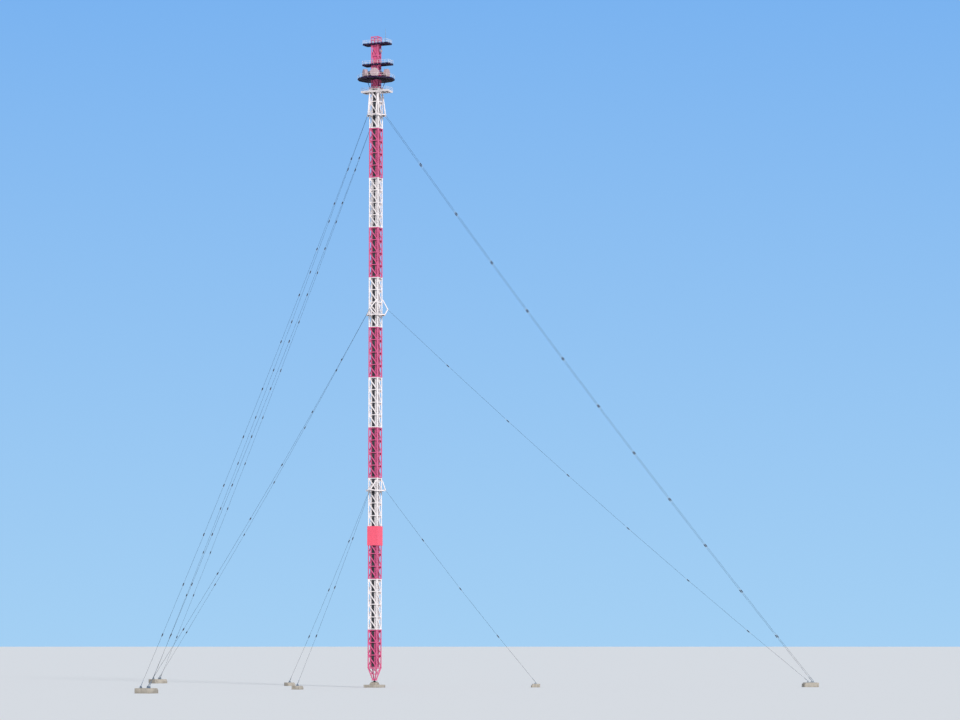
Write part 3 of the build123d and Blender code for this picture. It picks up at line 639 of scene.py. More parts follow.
def add_lattice_side(bm, heading, side, leg, bay, bays, sizes):
    """Leg at the left of one side, with the side's angle irons, joint plates and bolts."""
    place = side_place(heading, side / 2)
    height, edge = bay * bays, leg / 2
    left, right = -side / 2, side / 2
    out = at(1.0, heading)
    foot, head = place @ Vector((left, 0.0, 0.0)), place @ Vector((left, 0.0, height))
    add_tube(bm, foot, head, edge, 16)
    add_flange(bm, foot, UP, sizes, heading)
    add_flange(bm, head, -UP, sizes, heading)
    low = sizes.flange_t + sizes.brace / 2
    joints = [low] + [bay * k for k in range(1, bays)] + [height - low]
    spans = [(left + edge, z, right - edge, z, sizes.brace) for z in joints]
    inset = edge + sizes.diagonal * 0.5
    for start, end in zip(joints, joints[1:]):
        lift = (end - start) * inset / side
        spans.append((left + inset, start + lift, right - inset, end - lift, sizes.diagonal))
    for x0, z0, x1, z1, wide in spans:
        start, end = place @ Vector((x0, 0.0, z0)), place @ Vector((x1, 0.0, z1))
        add_beam(bm, angle_outline(wide, sizes), start, end, out)
        line, face = (end - start).normalized(), out * sizes.brace_depth / 2
        for step in (sizes.brace * 0.6, sizes.brace * 1.3):
            for spot in (start + line * step, end - line * step):
                add_bolt(bm, spot + face, out, sizes.bolt, sizes.bolt * 0.45)
    for z in joints[:-1]:
        add_gusset(bm, place, left + edge * 0.9, z, 1.0, sizes)
    for z in joints[1:]:
        add_gusset(bm, place, right - edge * 0.9, z, -1.0, sizes)


class MAST_OT_lattice(PieceMaker, bpy.types.Operator):
    """Makes the twelve lengths of lattice with tube legs, flanges, angle irons and joint plates"""

    bl_idname = "mast.lattice"
    bl_label = "Lattice"

    def build(self, sizes):
        models = {}
        for k, node in enumerate(SECTIONS):
            bay = sizes.bay if node != SECTIONS[-1] else sizes.upper_bay
            paint = "white_paint" if k % 2 else "red_paint"
            self.make_length(models, node, f"lattice_{k + 1:02d}", paint, sizes.side, sizes.leg, bay, sizes)
        self.make_length(models, "head_column", "column_lattice", "red_paint", sizes.head_side,
                         sizes.head_leg, sizes.head_bay, sizes)

    def make_length(self, models, node, name, paint, side, leg, bay, sizes):
        """One length of lattice, as a copy of the first of its kind."""
        low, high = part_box(node)
        bays = round((high.z - low.z) / bay)
        if (bay, bays) not in models:
            bm = bmesh.new()
            for heading in SIDE_HEADINGS:
                add_lattice_side(bm, heading, side, leg, bay, bays, sizes)
            models[bay, bays] = mesh_of(bm, "lattice_length")
        mesh = models[bay, bays].copy()
        mesh.transform(Matrix.Translation((0.0, 0.0, low.z)))
        place_mesh(mesh, name, paint, node)


class MAST_OT_foot(PieceMaker, bpy.types.Operator):
    """Makes the lowest bay, its ball bearing and the concrete base"""

    bl_idname = "mast.foot"
    bl_label = "Foot"

    plate = (0.13, 0.13, 0.012)

    def build(self, sizes):
        low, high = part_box("mast_foot")
        bm = bmesh.new()
        middle = side_place(SIDE_HEADINGS[0], 0.0, low.z + self.plate[2] / 2)
        bevel(bm, add_block(bm, self.plate, middle), 0.0015)
        feet = [at(0.046, heading, low.z + 0.008) for heading in LEG_HEADINGS]
        heads = [at(CORNER_R, heading, high.z - sizes.flange_t) for heading in LEG_HEADINGS]
        legs = list(zip(feet, heads))
        outline = angle_outline(sizes.brace, sizes)
        stiffener = [(-0.05, 0.0), (0.05, 0.0), (0.03, 0.035), (-0.03, 0.035)]
        for heading, (leg, after) in zip(SIDE_HEADINGS, round_pairs(legs)):
            (foot, head), (next_foot, next_head) = leg, after
            add_tube(bm, foot, head + UP * 0.002, sizes.leg / 2, 16)
            add_flange(bm, head + UP * sizes.flange_t, -UP, sizes, heading)
            middle, next_middle = (foot + head) / 2, (next_foot + next_head) / 2
            drop = UP * 0.015
            for start, end in ((middle, next_middle), (head - drop, next_head - drop), (middle, next_head)):
                add_beam(bm, outline, start, end, at(1.0, heading))
            fin = side_place(heading, 0.032, low.z + self.plate[2])
            add_bar(bm, stiffener, moved(turned(fin, 90.0, "X"), z=-0.0015), 0.003)
        place_piece(bm, "foot_bay", "red_paint", "mast_foot")
        self.make_bearing()
        self.make_base()

    def make_bearing(self):
        """Bolted plate with a ball on a collar."""
        low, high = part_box("foot_bearing")
        bm = bmesh.new()
        place = side_place(SIDE_HEADINGS[0], 0.0, low.z)
        bevel(bm, add_block(bm, self.plate, moved(place, z=self.plate[2] / 2)), 0.0015)
        ball = 0.035
        profile = [(0.0, 0.011), (0.046, 0.011), (0.046, 0.014), (0.039, 0.018), (ball, 0.02), (ball, 0.03)]
        for k in range(9):
            a = math.radians(90.0 * k / 8)
            rise = high.z - low.z - ball + ball * math.sin(a)
            if rise > 0.03:
                profile.append((ball * math.cos(a), rise))
        add_turned(bm, profile, place, 36)
        for x, y in SQUARE:
            spot = place @ Vector((x * 0.05, y * 0.05, self.plate[2]))
            add_bolt(bm, spot, UP, 0.011, 0.007)
            add_tube(bm, spot, spot + UP * 0.013, 0.0032, 10)
        place_piece(bm, "ball_bearing", "bearing_steel", "foot_bearing")

    def make_base(self):
        """Slab with a pier that narrows upwards."""
        bm = bmesh.new()
        place = side_place(SIDE_HEADINGS[0], 0.0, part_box("base_block")[0].z)
        bevel(bm, add_block(bm, (0.46, 0.46, 0.08), moved(place, z=0.04)), 0.004)
        wide, narrow = 0.22, 0.17
        pier = add_block(bm, (wide, wide, 0.075), moved(place, z=0.1125))
        for corner in pier:
            spot = place.inverted() @ corner.co
            if spot.z > 0.1:
                corner.co = place @ Vector((spot.x * narrow / wide, spot.y * narrow / wide, spot.z))
        bevel(bm, pier, 0.003)
        place_piece(bm, "base_concrete", "concrete", "base_block")


class MAST_OT_duct(PieceMaker, bpy.types.Operator):
    """Makes the ribbed sheets of the service duct"""

    bl_idname = "mast.duct"
    bl_label = "Service duct"

    def build(self, sizes):
        spans = [(*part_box(node), sizes.duct) for node in SECTIONS]
        spans.append((*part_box("head_column"), sizes.head_duct))
        rib, trim = sizes.duct_rib, 0.0008
        for first, paint in enumerate(("red", "white")):
            bm = bmesh.new()
            for low, high, wide in spans[first::2]:
                tall, sheet = high.z - low.z, wide - 0.0033
                for heading in SIDE_HEADINGS:
                    place = moved(side_place(heading, wide / 2 - rib, low.z), 0.0016)
                    add_bar(bm, self.sheet_outline(sheet, rib), place, tall)
                    for z in (0.004, tall - 0.004):
                        add_block(bm, (sheet, trim, 0.008), moved(place, 0.0, rib - trim / 2, z))
            place_piece(bm, f"duct_sheets_{paint}", f"{paint}_paint", f"service_duct_{paint}")

    def sheet_outline(self, width, rib):
        """Outline of a ribbed sheet."""
        ribs, skin = round(width / 0.0163), 0.0009
        pitch = width / ribs
        steps = [(k * pitch - width / 2, share, rise) for k in range(ribs)
                 for share, rise in ((0.0, 0.0), (0.3, 0.0), (0.42, rib - skin), (0.88, rib - skin))]
        line = [(start + pitch * share, rise) for start, share, rise in steps] + [(width / 2, 0.0)]
        return line + [(x, y + skin) for x, y in reversed(line)]


class MAST_OT_ladders(PieceMaker, bpy.types.Operator):
    """Makes the ladder lengths with round rungs, and their arms"""

    bl_idname = "mast.ladders"
    bl_label = "Ladders"

    def build(self, sizes):
        bm = bmesh.new()
        width, stile, gap, step = 0.046, 0.005, 0.008, 0.03
        half = (width - stile) / 2
        channel = channel_outline(stile, stile, 0.0011)
        for node in SECTIONS:
            low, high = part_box(node)
            tall = high.z - low.z - 2 * sizes.fit
            place = side_place(LADDER_SIDE, sizes.duct / 2 + gap, low.z + sizes.fit)
            for way, turn in ((-1, 0.0), (1, 180.0)):
                add_bar(bm, channel, turned(moved(place, way * half, stile / 2), turn), tall)
                for share in (0.15, 0.5, 0.85):
                    arm = moved(place, way * half, -0.0038, tall * share + stile / 2)
                    add_block(bm, (stile, 0.0077, stile * 0.5), arm)
            steps = math.ceil(tall / step)
            for k in range(1, steps):
                ends = [place @ Vector((x, stile / 2, tall * k / steps)) for x in (-0.02, 0.02)]
                add_tube(bm, *ends, 0.0013, 6)
        place_piece(bm, "ladder_lengths", "galvanised_steel", "ladders")


class MAST_OT_feeders(PieceMaker, bpy.types.Operator):
    """Makes the feeder cables and the hangers that clip them to the mast"""

    bl_idname = "mast.feeders"
    bl_label = "Feeder cables"

    def build(self, sizes):
        low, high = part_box("feeder_cables")
        place = side_place(FEEDER_SIDE, sizes.side / 2 - 0.022)
        cables, pitch = 8, 0.0105
        bm = bmesh.new()
        for k in range(cables):
            x = pitch * (k - (cables - 1) / 2)
            ends = [place @ Vector((x, 0.0, z)) for z in (low.z, high.z)]
            add_tube(bm, *ends, sizes.feeder / 2, 12)
        place_piece(bm, "cables", "cable_jacket", "feeder_cables")
        bm = bmesh.new()
        run = cables * pitch - 0.0015
        z = low.z + sizes.bay / 2
        while z < high.z:
            add_block(bm, (run, 0.003, 0.006), moved(place, 0.0, 0.0031, z))
            add_block(bm, (run, 0.0018, 0.004), moved(place, 0.0, -0.0036, z))
            for k in (-1, 0, 1):
                add_block(bm, (0.005, 0.013, 0.004), moved(place, 3 * pitch * k, 0.0105, z))
            z += sizes.bay / 2
        place_piece(bm, "cable_hangers", "galvanised_steel", "feeder_cables")


class MAST_OT_casing(PieceMaker, bpy.types.Operator):
    """Makes the red casing with its two courses of ribbed sheets, trims and rivets"""

    bl_idname = "mast.casing"
    bl_label = "Casing"

    def build(self, sizes):
        low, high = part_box("red_casing")
        inner = sizes.side + sizes.flange + 0.002
        course = (high.z - low.z) / 2
        bm = bmesh.new()
        for k in range(2):
            for heading in SIDE_HEADINGS:
                place = side_place(heading, inner / 2, low.z + course * k)
                self.add_wall(bm, place, inner, course - sizes.fit, sizes)
        hatch = side_place(FEEDER_SIDE, inner / 2 + 0.0018, low.z + course * 0.5)
        bevel(bm, add_block(bm, (0.09, 0.0028, 0.15), hatch), 0.001, 1)
        place_piece(bm, "casing_sheets", "casing_paint", "red_casing")
        bm = bmesh.new()
        hole, thick = sizes.side + sizes.leg, 0.003
        for z in (low.z + thick / 2, high.z - thick / 2):
            for heading in SIDE_HEADINGS:
                rim = (inner - 0.001, (inner - hole) / 2 - 2 * sizes.fit, thick)
                add_block(bm, rim, side_place(heading, (inner + hole) / 4, z))
        place_piece(bm, "casing_rims", "casing_paint", "red_casing")

    def add_wall(self, bm, place, wide, tall, sizes):
        """One course of ribbed sheet with riveted trims and the angle at its corner."""
        sheet, trim = 0.0018, 0.012
        add_block(bm, (wide + 0.002, sheet, tall), moved(place, 0.0, sheet / 2, tall / 2))
        count = int(wide / sizes.casing_rib)
        for n in range(count):
            rib = moved(place, (n + 0.5 - count / 2) * sizes.casing_rib, 0.0017, trim)
            outline = [(-0.006, 0.0), (0.006, 0.0), (0.004, 0.0014), (-0.004, 0.0014)]
            add_bar(bm, outline, rib, tall - 2 * trim)
        for z in (trim / 2, tall - trim / 2):
            add_block(bm, (wide, 0.0016, trim), moved(place, 0.0, 0.0022, z))
            for n in range(-4, 5):
                rivet = [place @ Vector((n * wide / 9.4, y, z)) for y in (0.003, 0.0038)]
                add_tube(bm, *rivet, 0.0018, 6)
        angle = [(-0.01, 0.004), (0.002, 0.004), (0.002, -0.008), (0.0006, -0.008), (0.0006, 0.0026),
                 (-0.01, 0.0026)]
        add_bar(bm, angle, moved(place, wide / 2 + 0.0015, -0.0007), tall)


class MAST_OT_dipoles(PieceMaker, bpy.types.Operator):
    """Makes the booms and dipole rods in front of one white band"""

    bl_idname = "mast.dipoles"
    bl_label = "Dipole panels"

    def build(self, sizes):
        low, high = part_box("dipole_panels")
        boom, rod, pitch = 0.0058, 0.0029, 0.144
        bm = bmesh.new()
        for heading in SIDE_HEADINGS:
            place = side_place(heading, sizes.side / 2 + 0.034, (low.z + high.z) / 2)
            bevel(bm, add_block(bm, (0.01, boom, high.z - low.z), place), 0.001, 1)
            for k in range(-4, 5):
                for way in BOTH:
                    along = (0.004, 0.009, 0.108)
                    stub, root, tip = [place @ Vector((x * way, 0.0, pitch * k)) for x in along]
                    add_tube(bm, root, tip, rod, 8)
                    add_tube(bm, root, stub, 0.0019, 6)
                add_block(bm, (0.02, boom, 0.012), moved(place, z=pitch * k))
            for k in range(-1, 2):
                add_block(bm, (0.009, 0.0275, 0.009), moved(place, 0.0, -0.0165, sizes.bay * k))
                add_block(bm, (0.02, 0.0016, 0.02), moved(place, 0.0, -0.0285, sizes.bay * k))
        place_piece(bm, "dipole_booms", "white_paint", "dipole_panels")


def lug_point(level, heading, sideways):
    """Pin of a guy on its ring."""
    return at(RING_R + level.lug_out, heading, level.ring_z + level.lug_rise, sideways)


def add_ring_beams(bm, corners, sizes):
    """Beams round a ring, with a plate over and under each corner."""
    tall = sizes.ring_beam
    outline = beam_outline(tall * 0.74, tall, 0.003)
    for start, end in round_pairs(corners):
        add_beam(bm, outline, start, end)
        for rise in (-tall / 2 - 0.0005, tall / 2 - 0.0012):
            add_tube(bm, start + UP * rise, start + UP * (rise + 0.0017), tall * 0.7, 8)
        for k in range(4):
            spot = start + at(tall * 0.52, 90.0 * k, tall / 2 + 0.0005)
            add_bolt(bm, spot, UP, sizes.bolt, sizes.bolt * 0.5)


def add_lug(bm, lug, heading):
    """Two round cheeks and the pin between them that a guy pulls on."""
    side = at(LUG_W, heading + 90.0)
    for way in BOTH:
        add_tube(bm, lug + side * way * 0.5, lug + side * way * 0.28, RING_LUG_D / 2, 24)
    add_tube(bm, lug - side * 0.5, lug + side * 0.5, RING_LUG_D * 0.24, 14)


def add_strut(bm, start, end, radius):
    """Tube with a thinner eye at each end."""
    neck = (end - start).normalized() * 0.03
    eye = radius * STRUT_EYE
    add_tube(bm, start, start + neck, eye, 10, radius)
    add_tube(bm, start + neck, end - neck, radius, 14)
    add_tube(bm, end - neck, end, radius, 10, eye)


class MAST_OT_rings(PieceMaker, bpy.types.Operator):
    """Makes the three guy rings with their beams, decks, struts, clamps and lugs"""

    bl_idname = "mast.rings"
    bl_label = "Guy rings"

    def build(self, sizes):
        hole = (sizes.side + sizes.leg) / math.sqrt(2)
        for level in LEVELS:
            z = level.ring_z
            sides = [[at(RING_R, heading, z, way * RING_HALF) for way in BOTH] for heading in GUY_HEADINGS]
            corners = sum(sides, [])
            bm = bmesh.new()
            add_ring_beams(bm, corners, sizes)
            for heading, ends in zip(GUY_HEADINGS, sides):
                for lug in [lug_point(level, heading, sideways) for sideways in level.places]:
                    add_lug(bm, lug, heading)
                    self.add_leg_strut(bm, lug, z + level.strut_rise, sizes)
                    for corner in ends if level.lug_out > 0.0 else ():
                        add_strut(bm, corner, lug, sizes.strut / 2)
            node = f"guy_ring_{level.name}"
            place_piece(bm, f"ring_frame_{level.name}", "white_paint", node)
            bm = bmesh.new()
            inner = [at(hole, heading, z - 0.002) for heading in LEG_HEADINGS]
            add_sheet(bm, [corner - UP * 0.002 for corner in corners], inner, 0.004)
            # The ring deck gets the nearly black deck plate, which is painted shade.
            place_piece(bm, f"ring_deck_{level.name}", "dark_grating", node)

    def add_leg_strut(self, bm, lug, z, sizes):
        """Strut from a clamp round the nearest leg down to a lug."""
        leg = min([at(CORNER_R, heading, z) for heading in LEG_HEADINGS],
                  key=lambda spot: (spot - lug).xy.length)
        out = Vector((lug.x - leg.x, lug.y - leg.y, 0.0))
        lean = math.atan2(z - lug.z, out.length)
        out.normalize()
        half = sizes.leg / 2
        top = leg + out * (half + sizes.fit + sizes.strut / 2 * STRUT_EYE * math.sin(lean))
        add_strut(bm, top, lug, sizes.strut / 2)
        inner, outer, tall = half + sizes.fit, sizes.flange / 2 - 0.0045, 0.012
        rim = [(inner, -tall), (outer, -tall), (outer, 0.0), (outer, tall), (inner, tall), (inner, -tall)]
        middle = leg - UP * tall / 2
        add_turned(bm, rim, Matrix.Translation(middle), 20)
        across = out.cross(UP)
        # An upright plate on the clamp is let into the strut's upper end.
        plate = axes_place(leg + out * (half + 0.01) - UP * 0.017, out, across, UP)
        add_block(bm, (0.02, 0.005, 0.028), plate)
        for way in BOTH:
            ear = axes_place(middle + across * way * (half + 0.0045), out, across, UP)
            add_block(bm, (0.008, 0.006, 0.022), ear)
            for rise in (-0.0065, 0.0065):
                add_bolt(bm, ear @ Vector((0.004, 0.0, rise)), out, sizes.bolt, sizes.bolt * 0.45)


def guy_lines():
    """Level, heading and points of each guy, from its anchor pin up to its lug."""
    lines = []
    for level in LEVELS:
        for heading in GUY_HEADINGS:
            for sideways in level.places:
                low = at(level.pin_r, heading, level.anchor_h + PIN_RISE, sideways)
                high = lug_point(level, heading, sideways)
                drop = UP * SAG * (high - low).length * 4
                shares = [k / (level.insulators + 1) for k in range(level.insulators + 2)]
                lines.append((level, heading, [low.lerp(high, t) - drop * t * (1 - t) for t in shares]))
    return lines


def add_rope(bm, start, end, radius, lay, uv):
    """Round rope whose UV map goes round it in U and counts its lays in V."""
    count = len(bm.faces)
    add_tube(bm, start, end, radius, 10)
    bm.faces.ensure_lookup_table()
    back = bar_place(start, end).inverted()
    for face in bm.faces[count:]:
        spots = [back @ loop.vert.co for loop in face.loops]
        turns = [math.atan2(spot.y, spot.x) / (2 * math.pi) % 1.0 for spot in spots]
        if max(turns) - min(turns) > 0.5:
            turns = [turn + 1.0 if turn < 0.5 else turn for turn in turns]
        for loop, spot, turn in zip(face.loops, spots, turns):
            loop[uv].uv = (turn, spot.z / lay)


class MAST_OT_guys(PieceMaker, bpy.types.Operator):
    """Makes the guy ropes from anchor to lug, with their grips and sockets"""

    bl_idname = "mast.guys"
    bl_label = "Guy ropes"

    def build(self, sizes):
        grip = 0.05
        wide, narrow = sizes.rope * 0.85, sizes.rope * 0.52
        for level in LEVELS:
            ropes, fittings = bmesh.new(), bmesh.new()
            uv = ropes.loops.layers.uv.new("lay")
            for _, heading, points in [line for line in guy_lines() if line[0] is level]:
                last = len(points) - 2
                for k, (start, end) in enumerate(zip(points, points[1:])):
                    line = (end - start).normalized()
                    low_gap = LUG_D / 2 + BUCKLE_L + 2 * sizes.fit if k == 0 else sizes.insulator_l / 2
                    high_gap = RING_LUG_D / 2 + sizes.fit if k == last else sizes.insulator_l / 2
                    low, high = start + line * low_gap, end - line * high_gap
                    top = high - line * (grip if k == last else 0.0)
                    add_rope(ropes, low, top, sizes.rope / 2, sizes.rope_lay, uv)
                    add_tube(fittings, low, low + line * grip, wide, 10, narrow)
                    if k < last:
                        add_tube(fittings, high - line * grip, high, narrow, 10, wide)
                    else:
                        self.add_socket(fittings, high, line, heading)
            node = f"guys_{level.name}"
            place_piece(ropes, f"ropes_{level.name}", "guy_rope", node)
            place_piece(fittings, f"rope_grips_{level.name}", "galvanised_steel", node)

    def add_socket(self, bm, high, line, heading):
        """Poured socket with an eye that sits between the cheeks of its lug."""
        profile = [(0.0, 0.0), (0.0036, 0.0), (0.0062, 0.036), (0.0065, 0.044), (0.0045, 0.058), (0.0, 0.058)]
        add_turned(bm, profile, bar_place(high - line * 0.06, high), 16)
        side = at(0.0055, heading + 90.0)
        eye = high + line * 0.008
        add_tube(bm, eye - side, eye + side, 0.0115, 16)


class MAST_OT_insulators(PieceMaker, bpy.types.Operator):
    """Makes the porcelain insulators with their sheds and end caps"""

    bl_idname = "mast.insulators"
    bl_label = "Guy insulators"

    def build(self, sizes):
        half, radius = sizes.insulator_l / 2, sizes.insulator / 2
        body = [(0.0, -0.78), (0.5, -0.78)]
        for k in range(-2, 3):
            body += [(0.7, 0.31 * k - 0.11), (0.98, 0.31 * k), (0.74, 0.31 * k + 0.08)]
        body += [(0.5, 0.78), (0.0, 0.78)]
        cap = [(0.0, 1.0), (0.3, 1.0), (0.52, 0.9), (0.55, 0.7), (0.0, 0.7)]
        groups = (("porcelain", "insulator_glaze", [body]),
                  ("insulator_caps", "galvanised_steel", [cap, [(r, -z) for r, z in cap]]))
        for name, slot, profiles in groups:
            one, every = bmesh.new(), bmesh.new()
            for profile in profiles:
                add_turned(one, [(radius * r, half * z) for r, z in profile], Matrix.Identity(4), 12)
            model = mesh_of(one, f"one_{name}")
            for _, _, points in guy_lines():
                for below, middle, above in zip(points, points[1:], points[2:]):
                    add_copy(every, model, bar_place(middle, middle + (above - below)))
            place_piece(every, name, slot, "insulators")


class MAST_OT_anchors(PieceMaker, bpy.types.Operator):
    """Makes the anchor blocks, their shoes and the turnbuckles"""

    bl_idname = "mast.anchors"
    bl_label = "Anchors"

    def build(self, sizes):
        outer, _, inner = LEVELS
        blocks = (("outer_anchors", outer.pin_r - 0.065, 0.42, 2 * (RING_HALF + 0.095), outer.anchor_h),
                  ("inner_anchors", inner.pin_r, 0.24, 0.24, inner.anchor_h))
        for name, radius, deep, wide, high in blocks:
            bm = bmesh.new()
            half, cut = deep / 2, 0.05
            side = [(-half, 0.0), (half, 0.0), (half, high), (cut - half, high), (-half, high - cut)]
            for heading in GUY_HEADINGS:
                place = turned(moved(plan_place(heading, 0.0, radius), 0.0, wide / 2), 90.0, "X")
                bevel(bm, add_bar(bm, side, place, wide), 0.005)
            place_piece(bm, f"{name}_concrete", "concrete", name)
        shoe, buckle = self.shoe_mesh(), self.turnbuckle_mesh()
        shoes, buckles = bmesh.new(), bmesh.new()
        for _, heading, points in guy_lines():
            pin, after = points[:2]
            place = plan_place(heading)
            place.translation = pin - UP * PIN_RISE
            add_copy(shoes, shoe, place)
            start = pin + (after - pin).normalized() * (LUG_D / 2 + sizes.fit)
            add_copy(buckles, buckle, bar_place(start, after))
        place_piece(shoes, "anchor_shoe_plates", "galvanised_steel", "anchor_shoes")
        place_piece(buckles, "turnbuckle_set", "galvanised_steel", "turnbuckles")

    def shoe_mesh(self):
        """Base plate with bolts, and two rounded cheeks with their pin."""
        bm = bmesh.new()
        thick, cheek = 0.007, 0.0195
        bevel(bm, add_block(bm, (0.074, 0.054, thick), Matrix.Translation((0.0, 0.0, thick / 2))), 0.001, 1)
        pin = UP * PIN_RISE
        arc = [at(LUG_D / 2, 15.0 * k) for k in range(13)]
        outline = [(0.03, 0.006)] + [(spot.x, PIN_RISE + spot.y) for spot in arc] + [(-0.03, 0.006)]
        for y in (-0.013, 0.02):
            add_bar(bm, outline, turned(Matrix.Translation((0.0, y, 0.0)), 90.0, "X"), thick)
        along = Vector((0.0, 1.0, 0.0))
        add_tube(bm, pin - along * cheek, pin + along * cheek, 0.0085, 18)
        for way in BOTH:
            add_tube(bm, pin + along * way * cheek, pin + along * way * (cheek + 0.003), 0.0105, 18)
            for x in (-0.03, 0.03):
                add_bolt(bm, Vector((x, way * 0.021, thick)), UP, 0.007, 0.0045)
        return mesh_of(bm, "anchor_shoe")

    def turnbuckle_mesh(self):
        """Open turnbuckle with its two screws, nuts and the eye at its anchor end."""
        bm = bmesh.new()
        rings = [(0.0, BUCKLE_L, 0.0042, 12), (0.0375, 0.05, 0.0098, 16), (0.1, 0.1125, 0.0098, 16)]
        threads = [start + k * 0.0019 for start in (0.012, 0.116) for k in range(12)]
        rings += [(z, z + 0.0009, 0.005, 10) for z in threads]
        for start, end, radius, steps in rings:
            add_tube(bm, UP * start, UP * end, radius, steps)
        for way in BOTH:
            place = Matrix.Translation((0.0, way * 0.0078, BUCKLE_L / 2))
            bevel(bm, add_block(bm, (0.007, 0.004, 0.062), place), 0.001, 1)
        for z in (0.0325, 0.1125):
            add_bolt(bm, UP * z, UP, 0.0145, 0.005)
        add_tube(bm, Vector((-0.005, 0.0, -0.0065)), Vector((0.005, 0.0, -0.0065)), 0.0105, 16)
        return mesh_of(bm, "turnbuckle")


class Platform(NamedTuple):
    """Long platform, with how far it goes past the column each way and its opening."""

    back: float
    front: float
    around: float
    hole: float
    paint: str

    @property
    def size(self):
        """Half its length and half its width."""
        return (self.around + self.back + self.front) / 2, self.around / 2 + 0.04

    @property
    def shift(self):
        return (self.front - self.back) / 2

    def corners(self, inset, z=0.0):
        """Its four corners, drawn in a little."""
        long, wide = [half - inset for half in self.size]
        return [Vector((self.shift + x * long, y * wide, z)) for x, y in SQUARE]


# Platforms painted deck_paint get nearly black purple beams, which is painted shade for the shade under them.
PLATFORMS = {
    "platform_low": Platform(0.25, 0.29, 0.3036, 0.3036, "white_paint"),
    "platform_upper": Platform(0.264, 0.364, 0.2286, 0.2286, "deck_paint"),
    "platform_top": Platform(0.25, 0.318, 0.2286, 0.19, "deck_paint"),
}
BROAD_R = 0.54
BROAD_HOLE = 0.2286


def add_deck_frame(bm, place, plan, sizes):
    """Channels round the edge of a long platform, and the bearers beside its opening."""
    (long, wide), shift, hole = plan.size, plan.shift, plan.hole / 2
    depth, web = sizes.beam_h + 0.004, 0.0018
    z, edge = -depth / 2, 0.005
    for start, end in round_pairs(plan.corners(edge, z)):
        line = (end - start).normalized() * edge
        ends = place @ (start - line), place @ (end + line)
        add_beam(bm, channel_outline(0.01, depth, web), *ends, turn=180.0)
    for y in (-hole - edge, hole + edge):
        ends = [place @ Vector((shift + way * (long - 0.008), y, z)) for way in BOTH]
        add_beam(bm, beam_outline(0.01, depth, web), *ends)
    clear = 0.008
    bearer = channel_outline(0.006, depth - 0.006, 0.0014)
    steps = round(2 * long / 0.14)
    for k in range(1, steps):
        x = shift + 2 * long * (k / steps - 0.5)
        spans = [(clear - wide, wide - clear)]
        if abs(x) < hole + 0.004:
            spans = [(clear - wide, -hole - clear), (hole + clear, wide - clear)]
        for span in spans:
            add_beam(bm, bearer, *[place @ Vector((x, y, z - 0.002)) for y in span])


def add_deck_plates(bm, place, plan):
    """Deck plates with a square opening, laid with narrow joints."""
    hole, (low, _, _), (high, wide, _) = plan.hole / 2, plan.corners(0.002)[0], plan.corners(0.002)[2]
    strips = [(low, -hole, -wide, wide), (hole, high, -wide, wide), (-hole, hole, -wide, -hole),
              (-hole, hole, hole, wide)]
    for x0, x1, y0, y1 in strips:
        count = max(1, round((x1 - x0) / 0.1))
        step = (x1 - x0) / count
        for k in range(count):
            middle = moved(place, x0 + step * (k + 0.5), (y0 + y1) / 2, -0.002)
            add_block(bm, (step - 0.0008, y1 - y0, 0.0036), middle)


class MAST_OT_platforms(PieceMaker, bpy.types.Operator):
    """Makes the four platforms of the head with their beams and deck plates"""

    bl_idname = "mast.platforms"
    bl_label = "Platforms"

    def build(self, sizes):
        for name, plan in PLATFORMS.items():
            place = plan_place(PLATFORM_HEADING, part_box(name)[1].z)
            steel, plates = bmesh.new(), bmesh.new()
            add_deck_frame(steel, place, plan, sizes)
            add_deck_plates(plates, place, plan)
            # The beams take the platform's paint, nearly black purple on the higher decks as painted shade,
            # and the plates take the nearly black deck plate, also painted shade.
            place_piece(steel, f"{name}_beams", plan.paint, name)
            place_piece(plates, f"{name}_plates", "dark_grating", name)
        self.make_broad_deck(sizes)

    def make_broad_deck(self, sizes):
        """Twelve-sided deck of the drums, its rim, its bearers and the struts under it."""
        name = "platform_dishes"
        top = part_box(name)[1].z
        place = plan_place(PLATFORM_HEADING, top)
        steel, plates = bmesh.new(), bmesh.new()
        half_side = math.radians(15.0)
        for start, end in round_pairs([place @ at(BROAD_R - 0.003, 30.0 * k, -0.013) for k in range(12)]):
            add_beam(steel, channel_outline(0.006, 0.026, 0.0018), start, end, turn=180.0)
        offset = BROAD_HOLE / 2 + 0.005
        long = BROAD_R - 0.012 - offset * math.tan(half_side)
        for sideways in (-offset, offset):
            for heading in (0.0, 90.0):
                ends = [place @ at(way * long, heading, -0.018, sideways) for way in BOTH]
                add_beam(steel, beam_outline(0.01, 0.016, 0.002), *ends)
        reach = BROAD_R * math.cos(half_side) - 0.01
        for k in range(12):
            ends = [place @ at(radius, 15.0 + 30.0 * k, -0.014) for radius in (0.2, reach)]
            add_beam(steel, channel_outline(0.006, 0.01, 0.0014), *ends)
        low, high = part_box("head_seat")[1].z + sizes.fit, top - 0.0103
        foot_r, head_r = 0.1857, 0.2891
        for heading in LEG_HEADINGS:
            add_tube(steel, at(foot_r, heading, low), at(head_r, heading, high), 0.0088, 14)
            for radius, z in ((foot_r, low + 0.0015), (head_r, high - 0.0015)):
                add_block(steel, (0.034, 0.034, 0.003), plan_place(heading, z, radius))
        # Rim, bearers and struts get the nearly black purple deck paint, and the plates the nearly black deck
        # plate: both are painted shade under the deck.
        place_piece(steel, f"{name}_beams", "deck_paint", name)
        outer = [place @ at(BROAD_R - 0.006, 30.0 * k, -0.0098) for k in range(12)]
        inner = [place @ Vector((x * BROAD_HOLE / 2, y * BROAD_HOLE / 2, -0.0098)) for x, y in SQUARE]
        add_sheet(plates, outer, inner, 0.0096)
        place_piece(plates, f"{name}_plates", "dark_grating", name)


